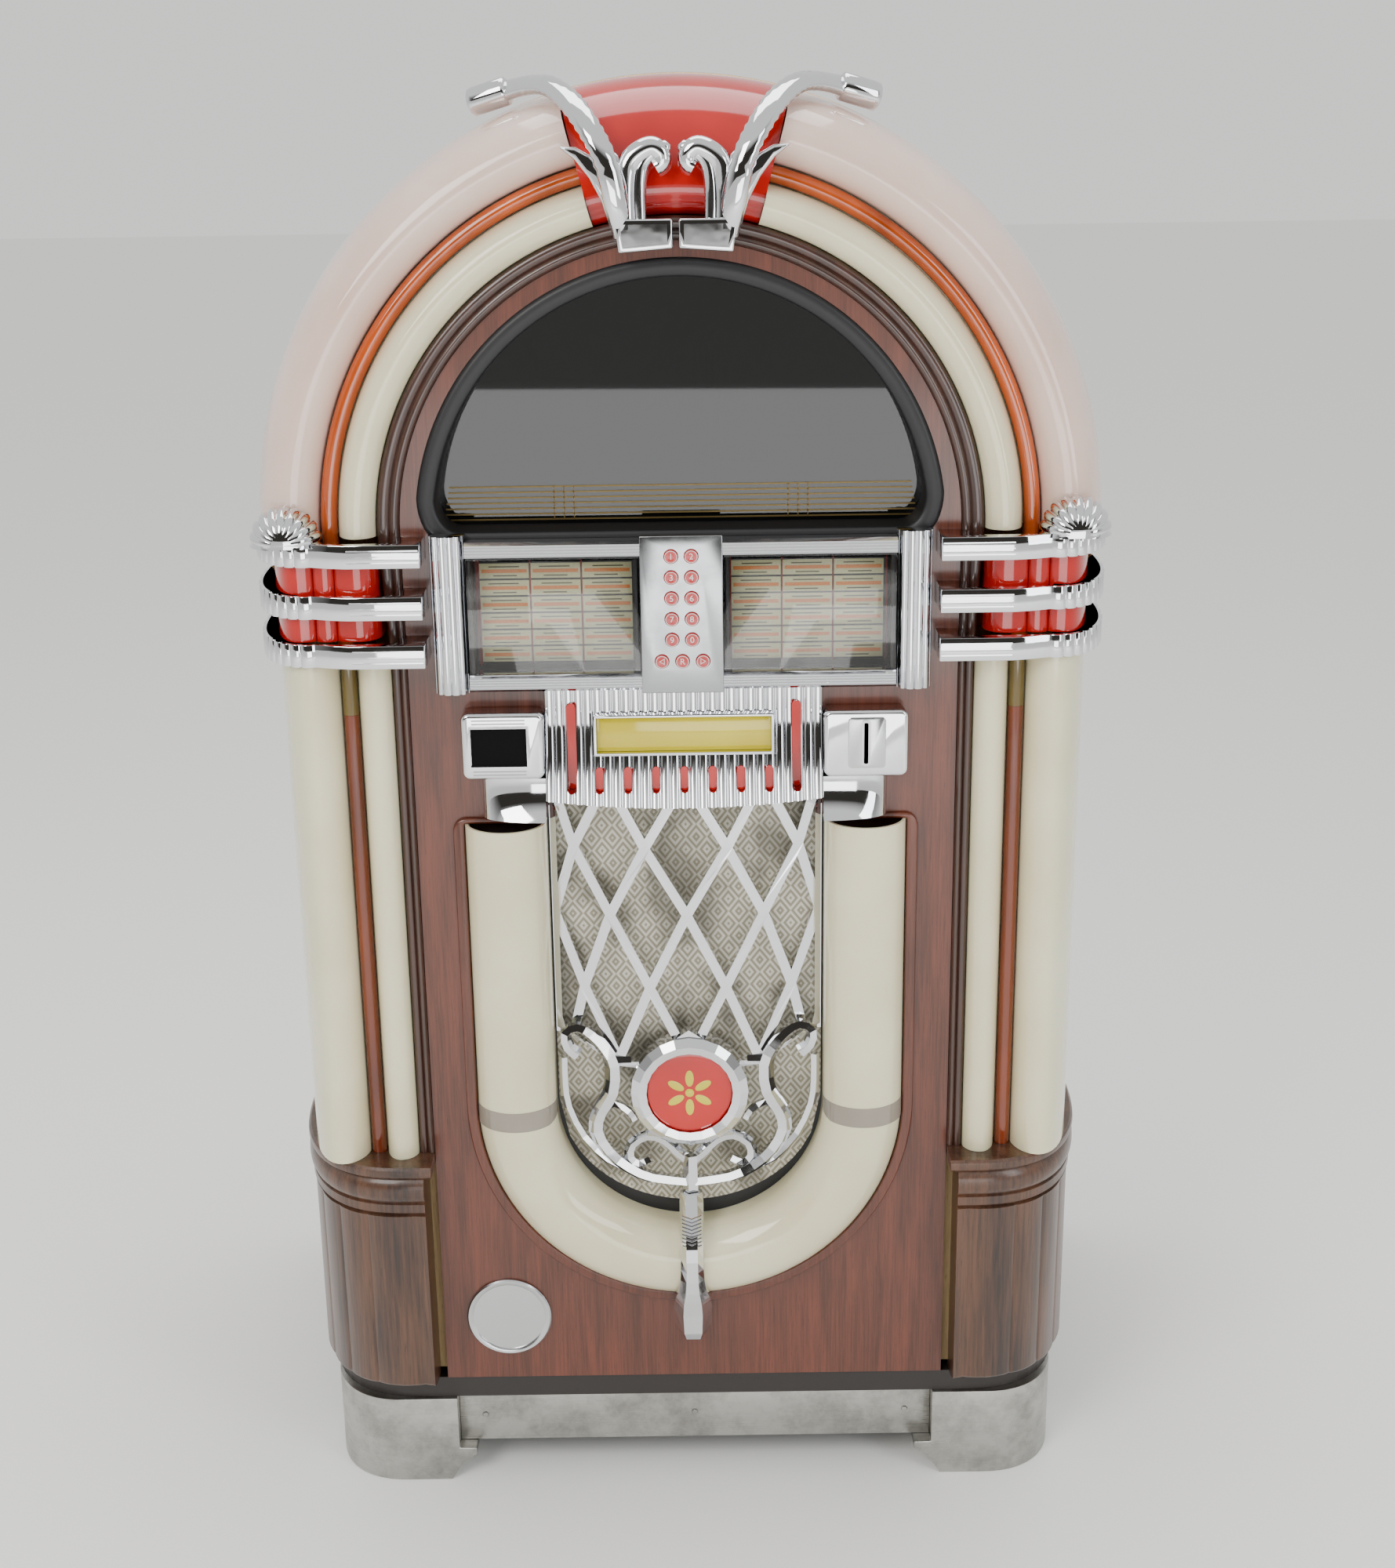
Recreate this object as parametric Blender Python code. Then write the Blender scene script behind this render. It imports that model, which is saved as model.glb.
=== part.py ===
"""Full-size bubbler jukebox with an arched wooden cabinet and a lit front door.

Metres, +Z up, the front faces -Y, the origin lies on the floor under the middle.
Depths called d are measured backwards from the face of the wooden front panel.
Radii called r are measured from the arch's axis, and on the straight legs they
are half widths. The door carries everything in front of the cabinet.
"""
import math

import bmesh
import bpy
from mathutils import Matrix, Vector
from mathutils.geometry import tessellate_polygon

for old in list(bpy.data.objects):
    bpy.data.objects.remove(old, do_unlink=True)

# Driving dimensions
FACE_Y = -0.265
BACK_Y = 0.320
ARCH_Z = 1.099
CABINET_R = 0.4345
SEAM_R = 0.279
BASE_TOP_Z = 0.418
DOOR_BOTTOM_Z = 0.1335
SKIRT_TOP_Z = 0.132
SKIRT_BOTTOM_Z = 0.107

# Fits
GAP = 0.0003
RUNNING_GAP = 0.0006
OVERRUN = 0.01
WELD = 0.0005

# Door depths
PANEL_T = 0.012
SHELL_D = 0.166
DOOR_CLEAR = 0.003
FLANGE_T = 0.013
DOOR_REAR_D = SHELL_D - DOOR_CLEAR
FLANGE_D = DOOR_REAR_D - FLANGE_T

# Arch facets: one step of the half circle, shared by all that nests in it
ARCH_STEPS = 24
CENTRE_STEPS = 4
RIGHT = 1
LEFT = -1
SIDES = {"left": LEFT, "right": RIGHT}

# Finishes: linear colour, roughness, metallic
FINISHES = {
    "mahogany": ((0.105, 0.022, 0.009), 0.38, 0.0),
    "walnut": ((0.050, 0.019, 0.010), 0.36, 0.0),
    "dark_moulding": ((0.022, 0.010, 0.008), 0.35, 0.0),
    "ebony": ((0.010, 0.006, 0.005), 0.5, 0.0),
    "plywood": ((0.20, 0.12, 0.06), 0.75, 0.0),
    "cream": ((0.68, 0.62, 0.42), 0.22, 0.0),
    "pink": ((0.68, 0.47, 0.40), 0.22, 0.0),
    "orange": ((0.48, 0.075, 0.008), 0.15, 0.0),
    "red": ((0.55, 0.008, 0.006), 0.2, 0.0),
    "chrome": ((0.60, 0.60, 0.61), 0.08, 1.0),
    "steel": ((0.42, 0.41, 0.40), 0.35, 1.0),
    "black": ((0.012, 0.012, 0.013), 0.45, 0.0),
    "zinc": ((0.45, 0.45, 0.44), 0.4, 1.0),
    "paper": ((0.42, 0.45, 0.30), 0.6, 0.0),
    "glass": ((0.03, 0.03, 0.03), 0.03, 0.0),
}


def finish_for(name, kind):
    """A Principled material of the named finish for one part."""
    colour, roughness, metallic = FINISHES[kind]
    made = bpy.data.materials.new(name + "_finish")
    made.use_nodes = True
    shader = made.node_tree.nodes["Principled BSDF"]
    shader.inputs["Base Color"].default_value = (*colour, 1.0)
    shader.inputs["Roughness"].default_value = roughness
    shader.inputs["Metallic"].default_value = metallic
    made.diffuse_color = (*colour, 1.0)
    return made


def face_out(shape):
    """Turn every face of a closed body outwards."""
    bmesh.ops.recalc_face_normals(shape, faces=shape.faces)
    if shape.calc_volume(signed=True) < 0:
        bmesh.ops.reverse_faces(shape, faces=shape.faces)
    return shape


def add_part(name, shape, kind, origin=(0.0, 0.0, 0.0)):
    """Turn a bmesh into the named object, with its origin at the given point."""
    home = Vector(origin)
    bmesh.ops.remove_doubles(shape, verts=shape.verts, dist=WELD / 50)
    bmesh.ops.translate(shape, verts=shape.verts, vec=-home)
    face_out(shape)
    mesh = bpy.data.meshes.new(name)
    shape.to_mesh(mesh)
    shape.free()
    mesh.materials.append(finish_for(name, kind))
    mesh.shade_smooth()
    mesh.set_sharp_from_angle(angle=math.radians(32))
    made = bpy.data.objects.new(name, mesh)
    made.location = home
    bpy.context.scene.collection.objects.link(made)
    return made


def at_depth(d):
    """World y of a depth behind the panel's face."""
    return FACE_Y + d


def skin(rings, closed=False):
    """Join rings of equal length into a body, capped at its ends or closed on itself."""
    shape = bmesh.new()
    loops = [[shape.verts.new(point) for point in ring] for ring in rings]
    pairs = list(zip(loops, loops[1:]))
    if closed:
        pairs.append((loops[-1], loops[0]))
    count = len(loops[0])
    for one, two in pairs:
        for i in range(count):
            j = (i + 1) % count
            shape.faces.new((one[i], one[j], two[j], two[i]))
    if not closed:
        shape.faces.new(loops[0][::-1])
        shape.faces.new(loops[-1])
    return face_out(shape)


def prism(outline, axis, low, high):
    """Extrude a closed outline along X, Y or Z between two levels."""
    def place(point, level):
        a, b = point
        return {"X": (level, a, b), "Y": (a, level, b), "Z": (a, b, level)}[axis]
    return skin([[place(point, level) for point in outline] for level in (low, high)])


def box(x0, x1, y0, y1, z0, z1):
    """A plain block between two corners."""
    return prism([(x0, y0), (x1, y0), (x1, y1), (x0, y1)], "Z", z0, z1)


def scratch_object(shape):
    mesh = bpy.data.meshes.new("scratch")
    shape.to_mesh(mesh)
    shape.free()
    made = bpy.data.objects.new("scratch", mesh)
    bpy.context.scene.collection.objects.link(made)
    return made


def carve(body, tools, operation="DIFFERENCE"):
    """Cut, join or intersect a body with each tool in turn."""
    base = scratch_object(body)
    others = [scratch_object(tool) for tool in tools]
    for other in others:
        step = base.modifiers.new("carve", "BOOLEAN")
        step.operation = operation
        step.solver = "EXACT"
        step.object = other
    evaluated = base.evaluated_get(bpy.context.evaluated_depsgraph_get())
    result = bmesh.new()
    result.from_mesh(evaluated.to_mesh())
    evaluated.to_mesh_clear()
    for used in [base] + others:
        bpy.data.objects.remove(used, do_unlink=True)
    return result


def join(body, tools):
    return carve(body, tools, "UNION")


def mirrored(shape):
    """The same body on the other side of the middle plane."""
    bmesh.ops.transform(shape, matrix=Matrix.Scale(-1, 4, (1, 0, 0)), verts=shape.verts)
    return face_out(shape)


def arc(cx, cy, radius, start, end, steps):
    """Points of an arc, both ends included, angles in degrees."""
    points = []
    for i in range(steps + 1):
        angle = math.radians(start + (end - start) * i / steps)
        points.append((cx + radius * math.cos(angle), cy + radius * math.sin(angle)))
    return points


def rounded_box(x0, x1, y0, y1, radius, steps=3):
    """Rectangle outline with round corners."""
    points = arc(x1 - radius, y1 - radius, radius, 0, 90, steps)
    points += arc(x0 + radius, y1 - radius, radius, 90, 180, steps)
    points += arc(x0 + radius, y0 + radius, radius, 180, 270, steps)
    points += arc(x1 - radius, y0 + radius, radius, 270, 360, steps)
    return points


def portal(r, bottom):
    """Arched outline: straight legs up to the springing line, then the half circle."""
    return [(r, bottom)] + arc(0, ARCH_Z, r, 0, 180, ARCH_STEPS) + [(-r, bottom)]


def arch_ring(section, angle):
    """A section of (r, d) points stood up at an angle of the arch."""
    turn = math.radians(angle)
    return [(r * math.cos(turn), at_depth(d), ARCH_Z + r * math.sin(turn)) for r, d in section]


def leg_ring(section, side, z):
    """The same section lying level on a straight leg."""
    return [(side * r, at_depth(d), z) for r, d in section]


def cylinder(centre, radius, start, end, axis, sides=12):
    """A round bar along X, Y or Z; centre holds its other two coordinates."""
    a, b = centre
    return prism(arc(a, b, radius, 0, 360 - 360 / sides, sides - 1), axis, start, end)


def turned(centre, stations, axis="Z", sides=16):
    """A turned solid: circles of (level, radius) about an axis through centre."""
    rings = []
    for level, radius in stations:
        ring = []
        for a, b in arc(*centre, radius, 0, 360 - 360 / sides, sides - 1):
            ring.append({"X": (level, a, b), "Y": (a, level, b), "Z": (a, b, level)}[axis])
        rings.append(ring)
    return skin(rings)


def sweep(path, widths, heights, sides=8, up=(0.0, -1.0, 0.0)):
    """An oval bar along a path; widths lie across the up direction, heights along it."""
    points = [Vector(point) for point in path]
    rings = []
    for i, point in enumerate(points):
        ahead = points[min(i + 1, len(points) - 1)] - points[max(i - 1, 0)]
        ahead.normalize()
        across = ahead.cross(Vector(up)).normalized()
        rise = across.cross(ahead).normalized()
        ring = []
        for k in range(sides):
            angle = 2 * math.pi * (k + 0.5) / sides
            offset = across * (widths[i] * math.cos(angle)) + rise * (heights[i] * math.sin(angle))
            ring.append(point + offset)
        rings.append(ring)
    return skin(rings)


def smooth_path(points, per_span):
    """Catmull-Rom points through a short list of places."""
    knots = [Vector(point) for point in points]
    result = []
    for i in range(len(knots) - 1):
        p0 = knots[max(i - 1, 0)]
        p1 = knots[i]
        p2 = knots[i + 1]
        p3 = knots[min(i + 2, len(knots) - 1)]
        for k in range(per_span):
            t = k / per_span
            result.append(0.5 * (2 * p1 + (p2 - p0) * t + (2 * p0 - 5 * p1 + 4 * p2 - p3) * t * t
                                 + (3 * p1 - p0 - 3 * p2 + p3) * t ** 3))
    result.append(knots[-1])
    return result


def pierced_plate(outer, holes, front, back):
    """A plate with holes; front and back give the depth at each (x, z)."""
    rims = [outer] + holes
    flat = [point for rim in rims for point in rim]
    shape = bmesh.new()
    fronts = [shape.verts.new((x, at_depth(front(x, z)), z)) for x, z in flat]
    backs = [shape.verts.new((x, at_depth(back(x, z)), z)) for x, z in flat]
    for a, b, c in tessellate_polygon([[Vector((x, z, 0)) for x, z in rim] for rim in rims]):
        shape.faces.new((fronts[a], fronts[b], fronts[c]))
        shape.faces.new((backs[c], backs[b], backs[a]))
    first = 0
    for rim in rims:
        for i in range(len(rim)):
            j = (i + 1) % len(rim)
            shape.faces.new((fronts[first + i], fronts[first + j], backs[first + j], backs[first + i]))
        first += len(rim)
    return face_out(shape)


# Door section, in steps outward from the seam of the wooden panel
WEB_IN_R = 0.2645
TRIM_W = 0.016
MOULDING_W = 0.023
MOULDING_RISE = 0.006
COLUMN_INNER_W = 0.036
ARCH_INNER_W = 0.0395
TUBE_R = 0.0082
ARCH_GROOVE_SLACK = 0.0005
COLUMN_GROOVE_D = 0.014
ARCH_GROOVE_D = 0.0205
PLASTIC_T = 0.003
COLUMN_INSET = 0.016
ARCH_INSET = 0.003
COLUMN_OUT_R = CABINET_R - COLUMN_INSET
ARCH_OUT_R = CABINET_R - ARCH_INSET
COLUMN_TOP_Z = 0.972
ARCH_PLASTIC_Z = 1.097
INNER_PEAK_D = -0.020
COLUMN_OUTER_PEAK_D = -0.028
ARCH_OUTER_PEAK_D = -0.012
OUTER_PEAK_OFFSET = 0.027
COLUMN_SIDE_D = 0.095
ARCH_SIDE_D = 0.100
FLANGE_INSET = 0.006

GROOVE_W = 2 * (TUBE_R + GAP)
TRIM_R = SEAM_R + TRIM_W
MOULDING_R = SEAM_R + MOULDING_W
COLUMN_TUBE_R = TRIM_R + COLUMN_INNER_W + GROOVE_W / 2
ARCH_GROOVE_IN_R = MOULDING_R + ARCH_INNER_W
ARCH_TUBE_R = ARCH_GROOVE_IN_R + GROOVE_W / 2 + ARCH_GROOVE_SLACK
ARCH_GROOVE_OUT_R = ARCH_TUBE_R + GROOVE_W / 2 + ARCH_GROOVE_SLACK
COLUMN_TUBE_D = COLUMN_GROOVE_D - GAP - TUBE_R
ARCH_TUBE_D = ARCH_GROOVE_D - GAP - TUBE_R
WEB_OUT_R = TRIM_R - GAP
LEG_STEP = 180 / ARCH_STEPS
FLANGE_R = CABINET_R - FLANGE_INSET


def lobe(r0, r1, rim0, rim1, peak_r, peak_d, steps=3):
    """Front curve of a moulded lobe, from its inner rim over the peak to its outer rim."""
    points = []
    for i in range(steps + 1):
        turn = math.pi / 2 * i / steps
        points.append((peak_r - (peak_r - r0) * math.cos(turn), rim0 - (rim0 - peak_d) * math.sin(turn)))
    for i in range(1, steps + 1):
        turn = math.pi / 2 * i / steps
        points.append((peak_r + (r1 - peak_r) * math.sin(turn), rim1 - (rim1 - peak_d) * math.cos(turn)))
    return points


def moulding_section(width):
    """Two-ridged wooden moulding beside the seam."""
    shares = ((0, 1), (0, -0.4), (0.2, -1), (0.42, -0.35), (0.62, -1), (0.9, -0.7), (1, -0.1), (1, 1))
    inner = SEAM_R + GAP
    reach = width - 2 * GAP
    return [(inner + reach * a, b * (PANEL_T - GAP if b > 0 else MOULDING_RISE)) for a, b in shares]


def build_arch_moulding():
    low = BASE_TOP_Z + GAP
    slim = moulding_section(TRIM_W)
    wide = moulding_section(MOULDING_W)
    rings = [leg_ring(slim, RIGHT, low), leg_ring(slim, RIGHT, COLUMN_TOP_Z), leg_ring(wide, RIGHT, ARCH_PLASTIC_Z)]
    rings += [arch_ring(wide, LEG_STEP * i) for i in range(ARCH_STEPS + 1)]
    rings += [leg_ring(wide, LEFT, ARCH_PLASTIC_Z), leg_ring(slim, LEFT, COLUMN_TOP_Z), leg_ring(slim, LEFT, low)]
    add_part("arch_moulding", skin(rings), "dark_moulding")


def column_section():
    """Shell of the two column lobes with the tube's groove between them."""
    def curve(inset):
        start = TRIM_R + GAP + inset
        inner_end = TRIM_R + COLUMN_INNER_W - inset
        outer_start = inner_end + GROOVE_W + 2 * inset
        groove = COLUMN_GROOVE_D + inset
        rear = FLANGE_D - GAP
        peak = outer_start + OUTER_PEAK_OFFSET
        points = [(start, rear)]
        points += lobe(start, inner_end, inset, groove, (start + inner_end) / 2, INNER_PEAK_D + inset)
        points += lobe(outer_start, COLUMN_OUT_R - inset, groove, COLUMN_SIDE_D, peak, COLUMN_OUTER_PEAK_D + inset)
        points.append((COLUMN_OUT_R - inset, rear))
        return points
    return curve(0) + curve(PLASTIC_T)[::-1]


def build_columns():
    section = column_section()
    for name, side in SIDES.items():
        low = BASE_TOP_Z + GAP
        high = COLUMN_TOP_Z - GAP
        rings = [leg_ring(section, side, low), leg_ring(section, side, high)]
        add_part("column_plastic_" + name, skin(rings), "cream")


def arch_inner_section():
    """Cream lobe whose floor runs under the tube."""
    def curve(inset):
        start = MOULDING_R + GAP + inset
        end = ARCH_GROOVE_IN_R - inset
        floor = ARCH_GROOVE_D + inset
        points = [(start, FLANGE_D - GAP)]
        points += lobe(start, end, inset, floor, (start + end) / 2, INNER_PEAK_D + inset)
        points.append((ARCH_GROOVE_OUT_R - GAP, floor))
        return points
    return curve(0) + curve(PLASTIC_T)[::-1]


def arch_outer_section():
    """Pink lobe that turns back over the shoulder of the arch."""
    def curve(inset):
        start = ARCH_GROOVE_OUT_R + inset
        side = ARCH_OUT_R - inset
        peak = ARCH_GROOVE_OUT_R + OUTER_PEAK_OFFSET
        rear = FLANGE_D - GAP
        points = [(start, rear), (start, ARCH_GROOVE_D)]
        points += lobe(start, side, ARCH_GROOVE_D, ARCH_SIDE_D, peak, ARCH_OUTER_PEAK_D + inset)[1:]
        points.append((side, rear))
        return points
    return curve(0) + curve(PLASTIC_T)[::-1]


def arch_centre_section():
    """Red centre piece, one wide lobe with a step near the rim."""
    def curve(inset):
        start = MOULDING_R + GAP + inset
        side = ARCH_OUT_R - inset
        rear = FLANGE_D - GAP
        peak = (MOULDING_R + ARCH_GROOVE_OUT_R) / 2
        points = [(start, rear)]
        points += lobe(start, side, MOULDING_RISE + inset, ARCH_SIDE_D, peak, ARCH_OUTER_PEAK_D + inset, 4)
        points.append((side, rear))
        return points
    return curve(0) + curve(PLASTIC_T)[::-1]


def arch_rings(section, side, first, last):
    """Rings of one side of the arch from its springing up to an angle."""
    rings = []
    if first == 0:
        rings.append(leg_ring(section, side, ARCH_PLASTIC_Z + GAP))
    for i in range(first, last):
        rings.append(arch_ring(section, LEG_STEP * i if side > 0 else 180 - LEG_STEP * i))
    clear = math.degrees(GAP / MOULDING_R)
    end = LEG_STEP * last - clear
    rings.append(arch_ring(section, end if side > 0 else 180 - end))
    return rings


def build_arch_plastics():
    top = (ARCH_STEPS - CENTRE_STEPS) // 2
    for name, side in SIDES.items():
        add_part("arch_inner_plastic_" + name, skin(arch_rings(arch_inner_section(), side, 0, top)), "cream")
        add_part("arch_outer_plastic_" + name, skin(arch_rings(arch_outer_section(), side, 0, top)), "pink")
    section = arch_centre_section()
    rings = [arch_ring(section, LEG_STEP * i) for i in range(top, top + CENTRE_STEPS + 1)]
    add_part("arch_center_plastic", skin(rings), "red")


def build_bubble_tubes():
    """One bent tube a side, from the base up the column and round to the crown."""
    top = (ARCH_STEPS - CENTRE_STEPS) // 2
    ring = arc(0, 0, TUBE_R, 0, 315, 7)
    for name, side in SIDES.items():
        low = [(COLUMN_TUBE_R + a, COLUMN_TUBE_D + b) for a, b in ring]
        high = [(ARCH_TUBE_R + a, ARCH_TUBE_D + b) for a, b in ring]
        rings = [leg_ring(low, side, BASE_TOP_Z + GAP), leg_ring(low, side, COLUMN_TOP_Z)]
        rings += arch_rings(high, side, 0, top)
        add_part("bubble_tube_" + name, skin(rings), "orange")


# Door frame
BOTTOM_RAIL_TOP_Z = 0.178
BOTTOM_RAIL_FACE_Z = 0.14

# Hinge
HINGE_INSET = 0.0055
HINGE_X = HINGE_INSET - CABINET_R
HINGE_D = DOOR_REAR_D + DOOR_CLEAR / 2
HINGE_LOW_Z = 0.443
HINGE_HIGH_Z = 0.963
KNUCKLE_R = 0.0040
PIN_R = 0.0018
PIN_FIT = 0.0004
KNUCKLES = 7
LEAF_T = 0.0009
LEAF_W = 0.0135
MORTISE_FIT = 0.0007


def knuckle_spans(first):
    """Heights of every second knuckle, with a running gap at each end."""
    pitch = (HINGE_HIGH_Z - HINGE_LOW_Z) / KNUCKLES
    return [(HINGE_LOW_Z + pitch * i + GAP, HINGE_LOW_Z + pitch * (i + 1) - GAP)
            for i in range(first, KNUCKLES, 2)]


def mortise(rear, front):
    """Slot along the hinge for its knuckles, open to the outside."""
    reach = KNUCKLE_R + MORTISE_FIT
    return box(HINGE_X - reach - OVERRUN, HINGE_X + reach, at_depth(front), at_depth(rear),
               HINGE_LOW_Z - MORTISE_FIT, HINGE_HIGH_Z + MORTISE_FIT)


def leaf_plate(spans, low_d, high_d):
    """Comb-shaped leaf that reaches the axis only at its own knuckles."""
    clear = HINGE_X + KNUCKLE_R + RUNNING_GAP
    tooth = HINGE_X + PIN_R + PIN_FIT * 2
    outer = HINGE_X + KNUCKLE_R + LEAF_W
    points = [(outer, HINGE_HIGH_Z), (outer, HINGE_LOW_Z), (clear, HINGE_LOW_Z)]
    for low, high in spans:
        inset = WELD
        points += [(clear, low + inset), (tooth, low + inset), (tooth, high - inset), (clear, high - inset)]
    points.append((clear, HINGE_HIGH_Z))
    return prism(points, "Y", at_depth(low_d), at_depth(high_d))


def build_hinge():
    axis = (HINGE_X, at_depth(HINGE_D))
    cabinet_spans = knuckle_spans(0)
    door_spans = knuckle_spans(1)
    plate = leaf_plate(cabinet_spans, SHELL_D - GAP - LEAF_T, SHELL_D - GAP)
    pin = cylinder(axis, PIN_R, HINGE_LOW_Z + GAP * 2, HINGE_HIGH_Z - GAP * 2, "Z", 8)
    barrels = [cylinder(axis, KNUCKLE_R, low, high, "Z", 10) for low, high in cabinet_spans]
    add_part("hinge_cabinet_leaf", join(plate, barrels + [pin]), "steel", (*axis, 0.0))
    plate = leaf_plate(door_spans, DOOR_REAR_D + GAP, DOOR_REAR_D + GAP + LEAF_T)
    barrels = [cylinder(axis, KNUCKLE_R, low, high, "Z", 10) for low, high in door_spans]
    leaf = join(plate, barrels)
    bore = cylinder(axis, PIN_R + PIN_FIT, HINGE_LOW_Z - OVERRUN, HINGE_HIGH_Z + OVERRUN, "Z", 8)
    add_part("hinge_door_leaf", carve(leaf, [bore]), "steel", (*axis, 0.0))


def build_door_frame():
    """L-section frame round the whole door."""
    inner_low = BOTTOM_RAIL_TOP_Z
    face_low = BOTTOM_RAIL_FACE_Z
    section = [
        (WEB_IN_R, inner_low, PANEL_T + GAP),
        (WEB_OUT_R, face_low, PANEL_T + GAP),
        (WEB_OUT_R, face_low, FLANGE_D),
        (FLANGE_R, DOOR_BOTTOM_Z, FLANGE_D),
        (FLANGE_R, DOOR_BOTTOM_Z, DOOR_REAR_D),
        (WEB_IN_R, inner_low, DOOR_REAR_D),
    ]
    rings = [[(x, at_depth(d), z) for x, z in portal(r, bottom)] for r, bottom, d in section]
    frame = skin(rings, closed=True)
    frame = carve(frame, [mortise(HINGE_D - KNUCKLE_R - MORTISE_FIT, DOOR_REAR_D + OVERRUN)])
    add_part("door_frame", frame, "plywood")
# Window
WINDOW_OUT_R = 0.2630
WINDOW_GLASS_R = 0.2490
WINDOW_BOTTOM_Z = 1.091
WINDOW_BAR_H = 0.0085
WINDOW_FRONT_D = -0.004
WINDOW_GLASS_D = 0.0425
WINDOW_GLASS_T = 0.004
WINDOW_REBATE = 0.004
WINDOW_CORNER_W = 0.022


def window_outline(grow):
    """Half round window with rounded lower corners, grown outwards from the frame's outside."""
    r = WINDOW_OUT_R + grow
    rim = WINDOW_OUT_R - WINDOW_GLASS_R + WINDOW_REBATE
    bottom = WINDOW_BOTTOM_Z - grow * WINDOW_BAR_H / rim
    points = arc(0, ARCH_Z, r, LEG_STEP, 180 - LEG_STEP, ARCH_STEPS - 2)
    x, z = points[0]
    corner = []
    for i in range(1, 4):
        turn = math.pi / 2 * i / 3
        corner.append((x - WINDOW_CORNER_W * (1 - math.cos(turn)), z - (z - bottom) * math.sin(turn)))
    points += [(-a, b) for a, b in corner]
    points += corner[::-1]
    return points


def build_window():
    """Deep dark frame, stepped at the back round the flat glass."""
    glass = WINDOW_GLASS_R - WINDOW_OUT_R
    seat = WINDOW_GLASS_D - GAP
    rear = WINDOW_GLASS_D + WINDOW_GLASS_T
    lip = glass - WINDOW_REBATE
    section = [(0, rear), (0, -GAP), (glass / 2, WINDOW_FRONT_D), (lip, WINDOW_FRONT_D / 2), (lip, seat),
               (glass + GAP, seat), (glass + GAP, rear)]
    rings = [[(x, at_depth(d), z) for x, z in window_outline(grow)] for grow, d in section]
    add_part("window_frame", skin(rings, closed=True), "dark_moulding")
    add_part("window_glass", prism(window_outline(glass - GAP), "Y", at_depth(WINDOW_GLASS_D), at_depth(rear)), "glass")


# Grille tube: a U of half round section round the grille
U_CENTRE_Z = 0.472
U_TOP_Z = 0.795
U_OUT_R = 0.229
U_IN_R = 0.144
U_FRONT_D = -0.037
U_RIM_D = 0.004
U_STEPS = 16
U_LIP_W = 0.012
U_LIP_RISE = 0.006
U_LIP_CORNER = 0.014
BAFFLE_D = 0.020
BAFFLE_T = 0.018
BAFFLE_TOP_Z = 0.848

# Panel openings
GRILLE_TOP_Z = 0.833
SELECTOR_HOLE_X = 0.2125
SELECTOR_HOLE_LOW_Z = 0.947
SELECTOR_HOLE_HIGH_Z = 1.083
CHUTE_X = 0.184
CHUTE_W = 0.008
CHUTE_LOW_Z = 0.859
CHUTE_HIGH_Z = 0.91


def u_outline(r, top):
    """U shape: straight legs down to the half circle at the bottom."""
    return [(r, top)] + arc(0, U_CENTRE_Z, r, 0, -180, U_STEPS) + [(-r, top)]


def u_ring(section, angle):
    turn = math.radians(angle)
    return [(r * math.cos(turn), at_depth(d), U_CENTRE_Z + r * math.sin(turn)) for r, d in section]


def build_front_panel():
    """Wooden face of the door with its openings and the raised lip round the grille tube."""
    slab = prism(portal(SEAM_R - GAP, DOOR_BOTTOM_Z), "Y", FACE_Y, at_depth(PANEL_T))
    lip_r = U_OUT_R + U_LIP_W
    lip_top = U_TOP_Z + U_LIP_RISE
    rim = arc(lip_r - U_LIP_CORNER, lip_top - U_LIP_CORNER, U_LIP_CORNER, 90, 0, 3)
    outline = rim + arc(0, U_CENTRE_Z, lip_r, 0, -180, U_STEPS) + [(-x, z) for x, z in rim[::-1]]
    lip = prism(outline, "Y", at_depth(-U_LIP_RISE), at_depth(PANEL_T / 2))
    slab = join(slab, [lip])
    front = at_depth(-OVERRUN)
    back = at_depth(PANEL_T + OVERRUN)
    hole_r = U_OUT_R + GAP
    inner = U_IN_R - GAP
    legs_top = U_TOP_Z + GAP
    outline = u_outline(hole_r, legs_top)
    outline += [(-inner, legs_top), (-inner, GRILLE_TOP_Z), (inner, GRILLE_TOP_Z), (inner, legs_top)]
    holes = [prism(outline, "Y", front, back), prism(window_outline(GAP), "Y", front, back)]
    holes.append(box(-SELECTOR_HOLE_X, SELECTOR_HOLE_X, front, back, SELECTOR_HOLE_LOW_Z, SELECTOR_HOLE_HIGH_Z))
    holes.append(box(CHUTE_X - CHUTE_W / 2, CHUTE_X + CHUTE_W / 2, front, back, CHUTE_LOW_Z, CHUTE_HIGH_Z))
    add_part("front_panel", carve(slab, holes), "mahogany")


def build_grille_tube():
    """Lit U of translucent plastic, a half round shell open at the back."""
    def curve(inset):
        start = U_IN_R + inset
        end = U_OUT_R - inset
        points = [(start, BAFFLE_D - GAP)]
        points += lobe(start, end, U_RIM_D, U_RIM_D, (start + end) / 2, U_FRONT_D + inset)
        points.append((end, BAFFLE_D - GAP))
        return points
    section = curve(0) + curve(PLASTIC_T)[::-1]
    rings = [leg_ring(section, RIGHT, U_TOP_Z)]
    rings += [u_ring(section, -180 * i / U_STEPS) for i in range(U_STEPS + 1)]
    rings.append(leg_ring(section, LEFT, U_TOP_Z))
    add_part("grille_tube", skin(rings), "cream")


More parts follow.
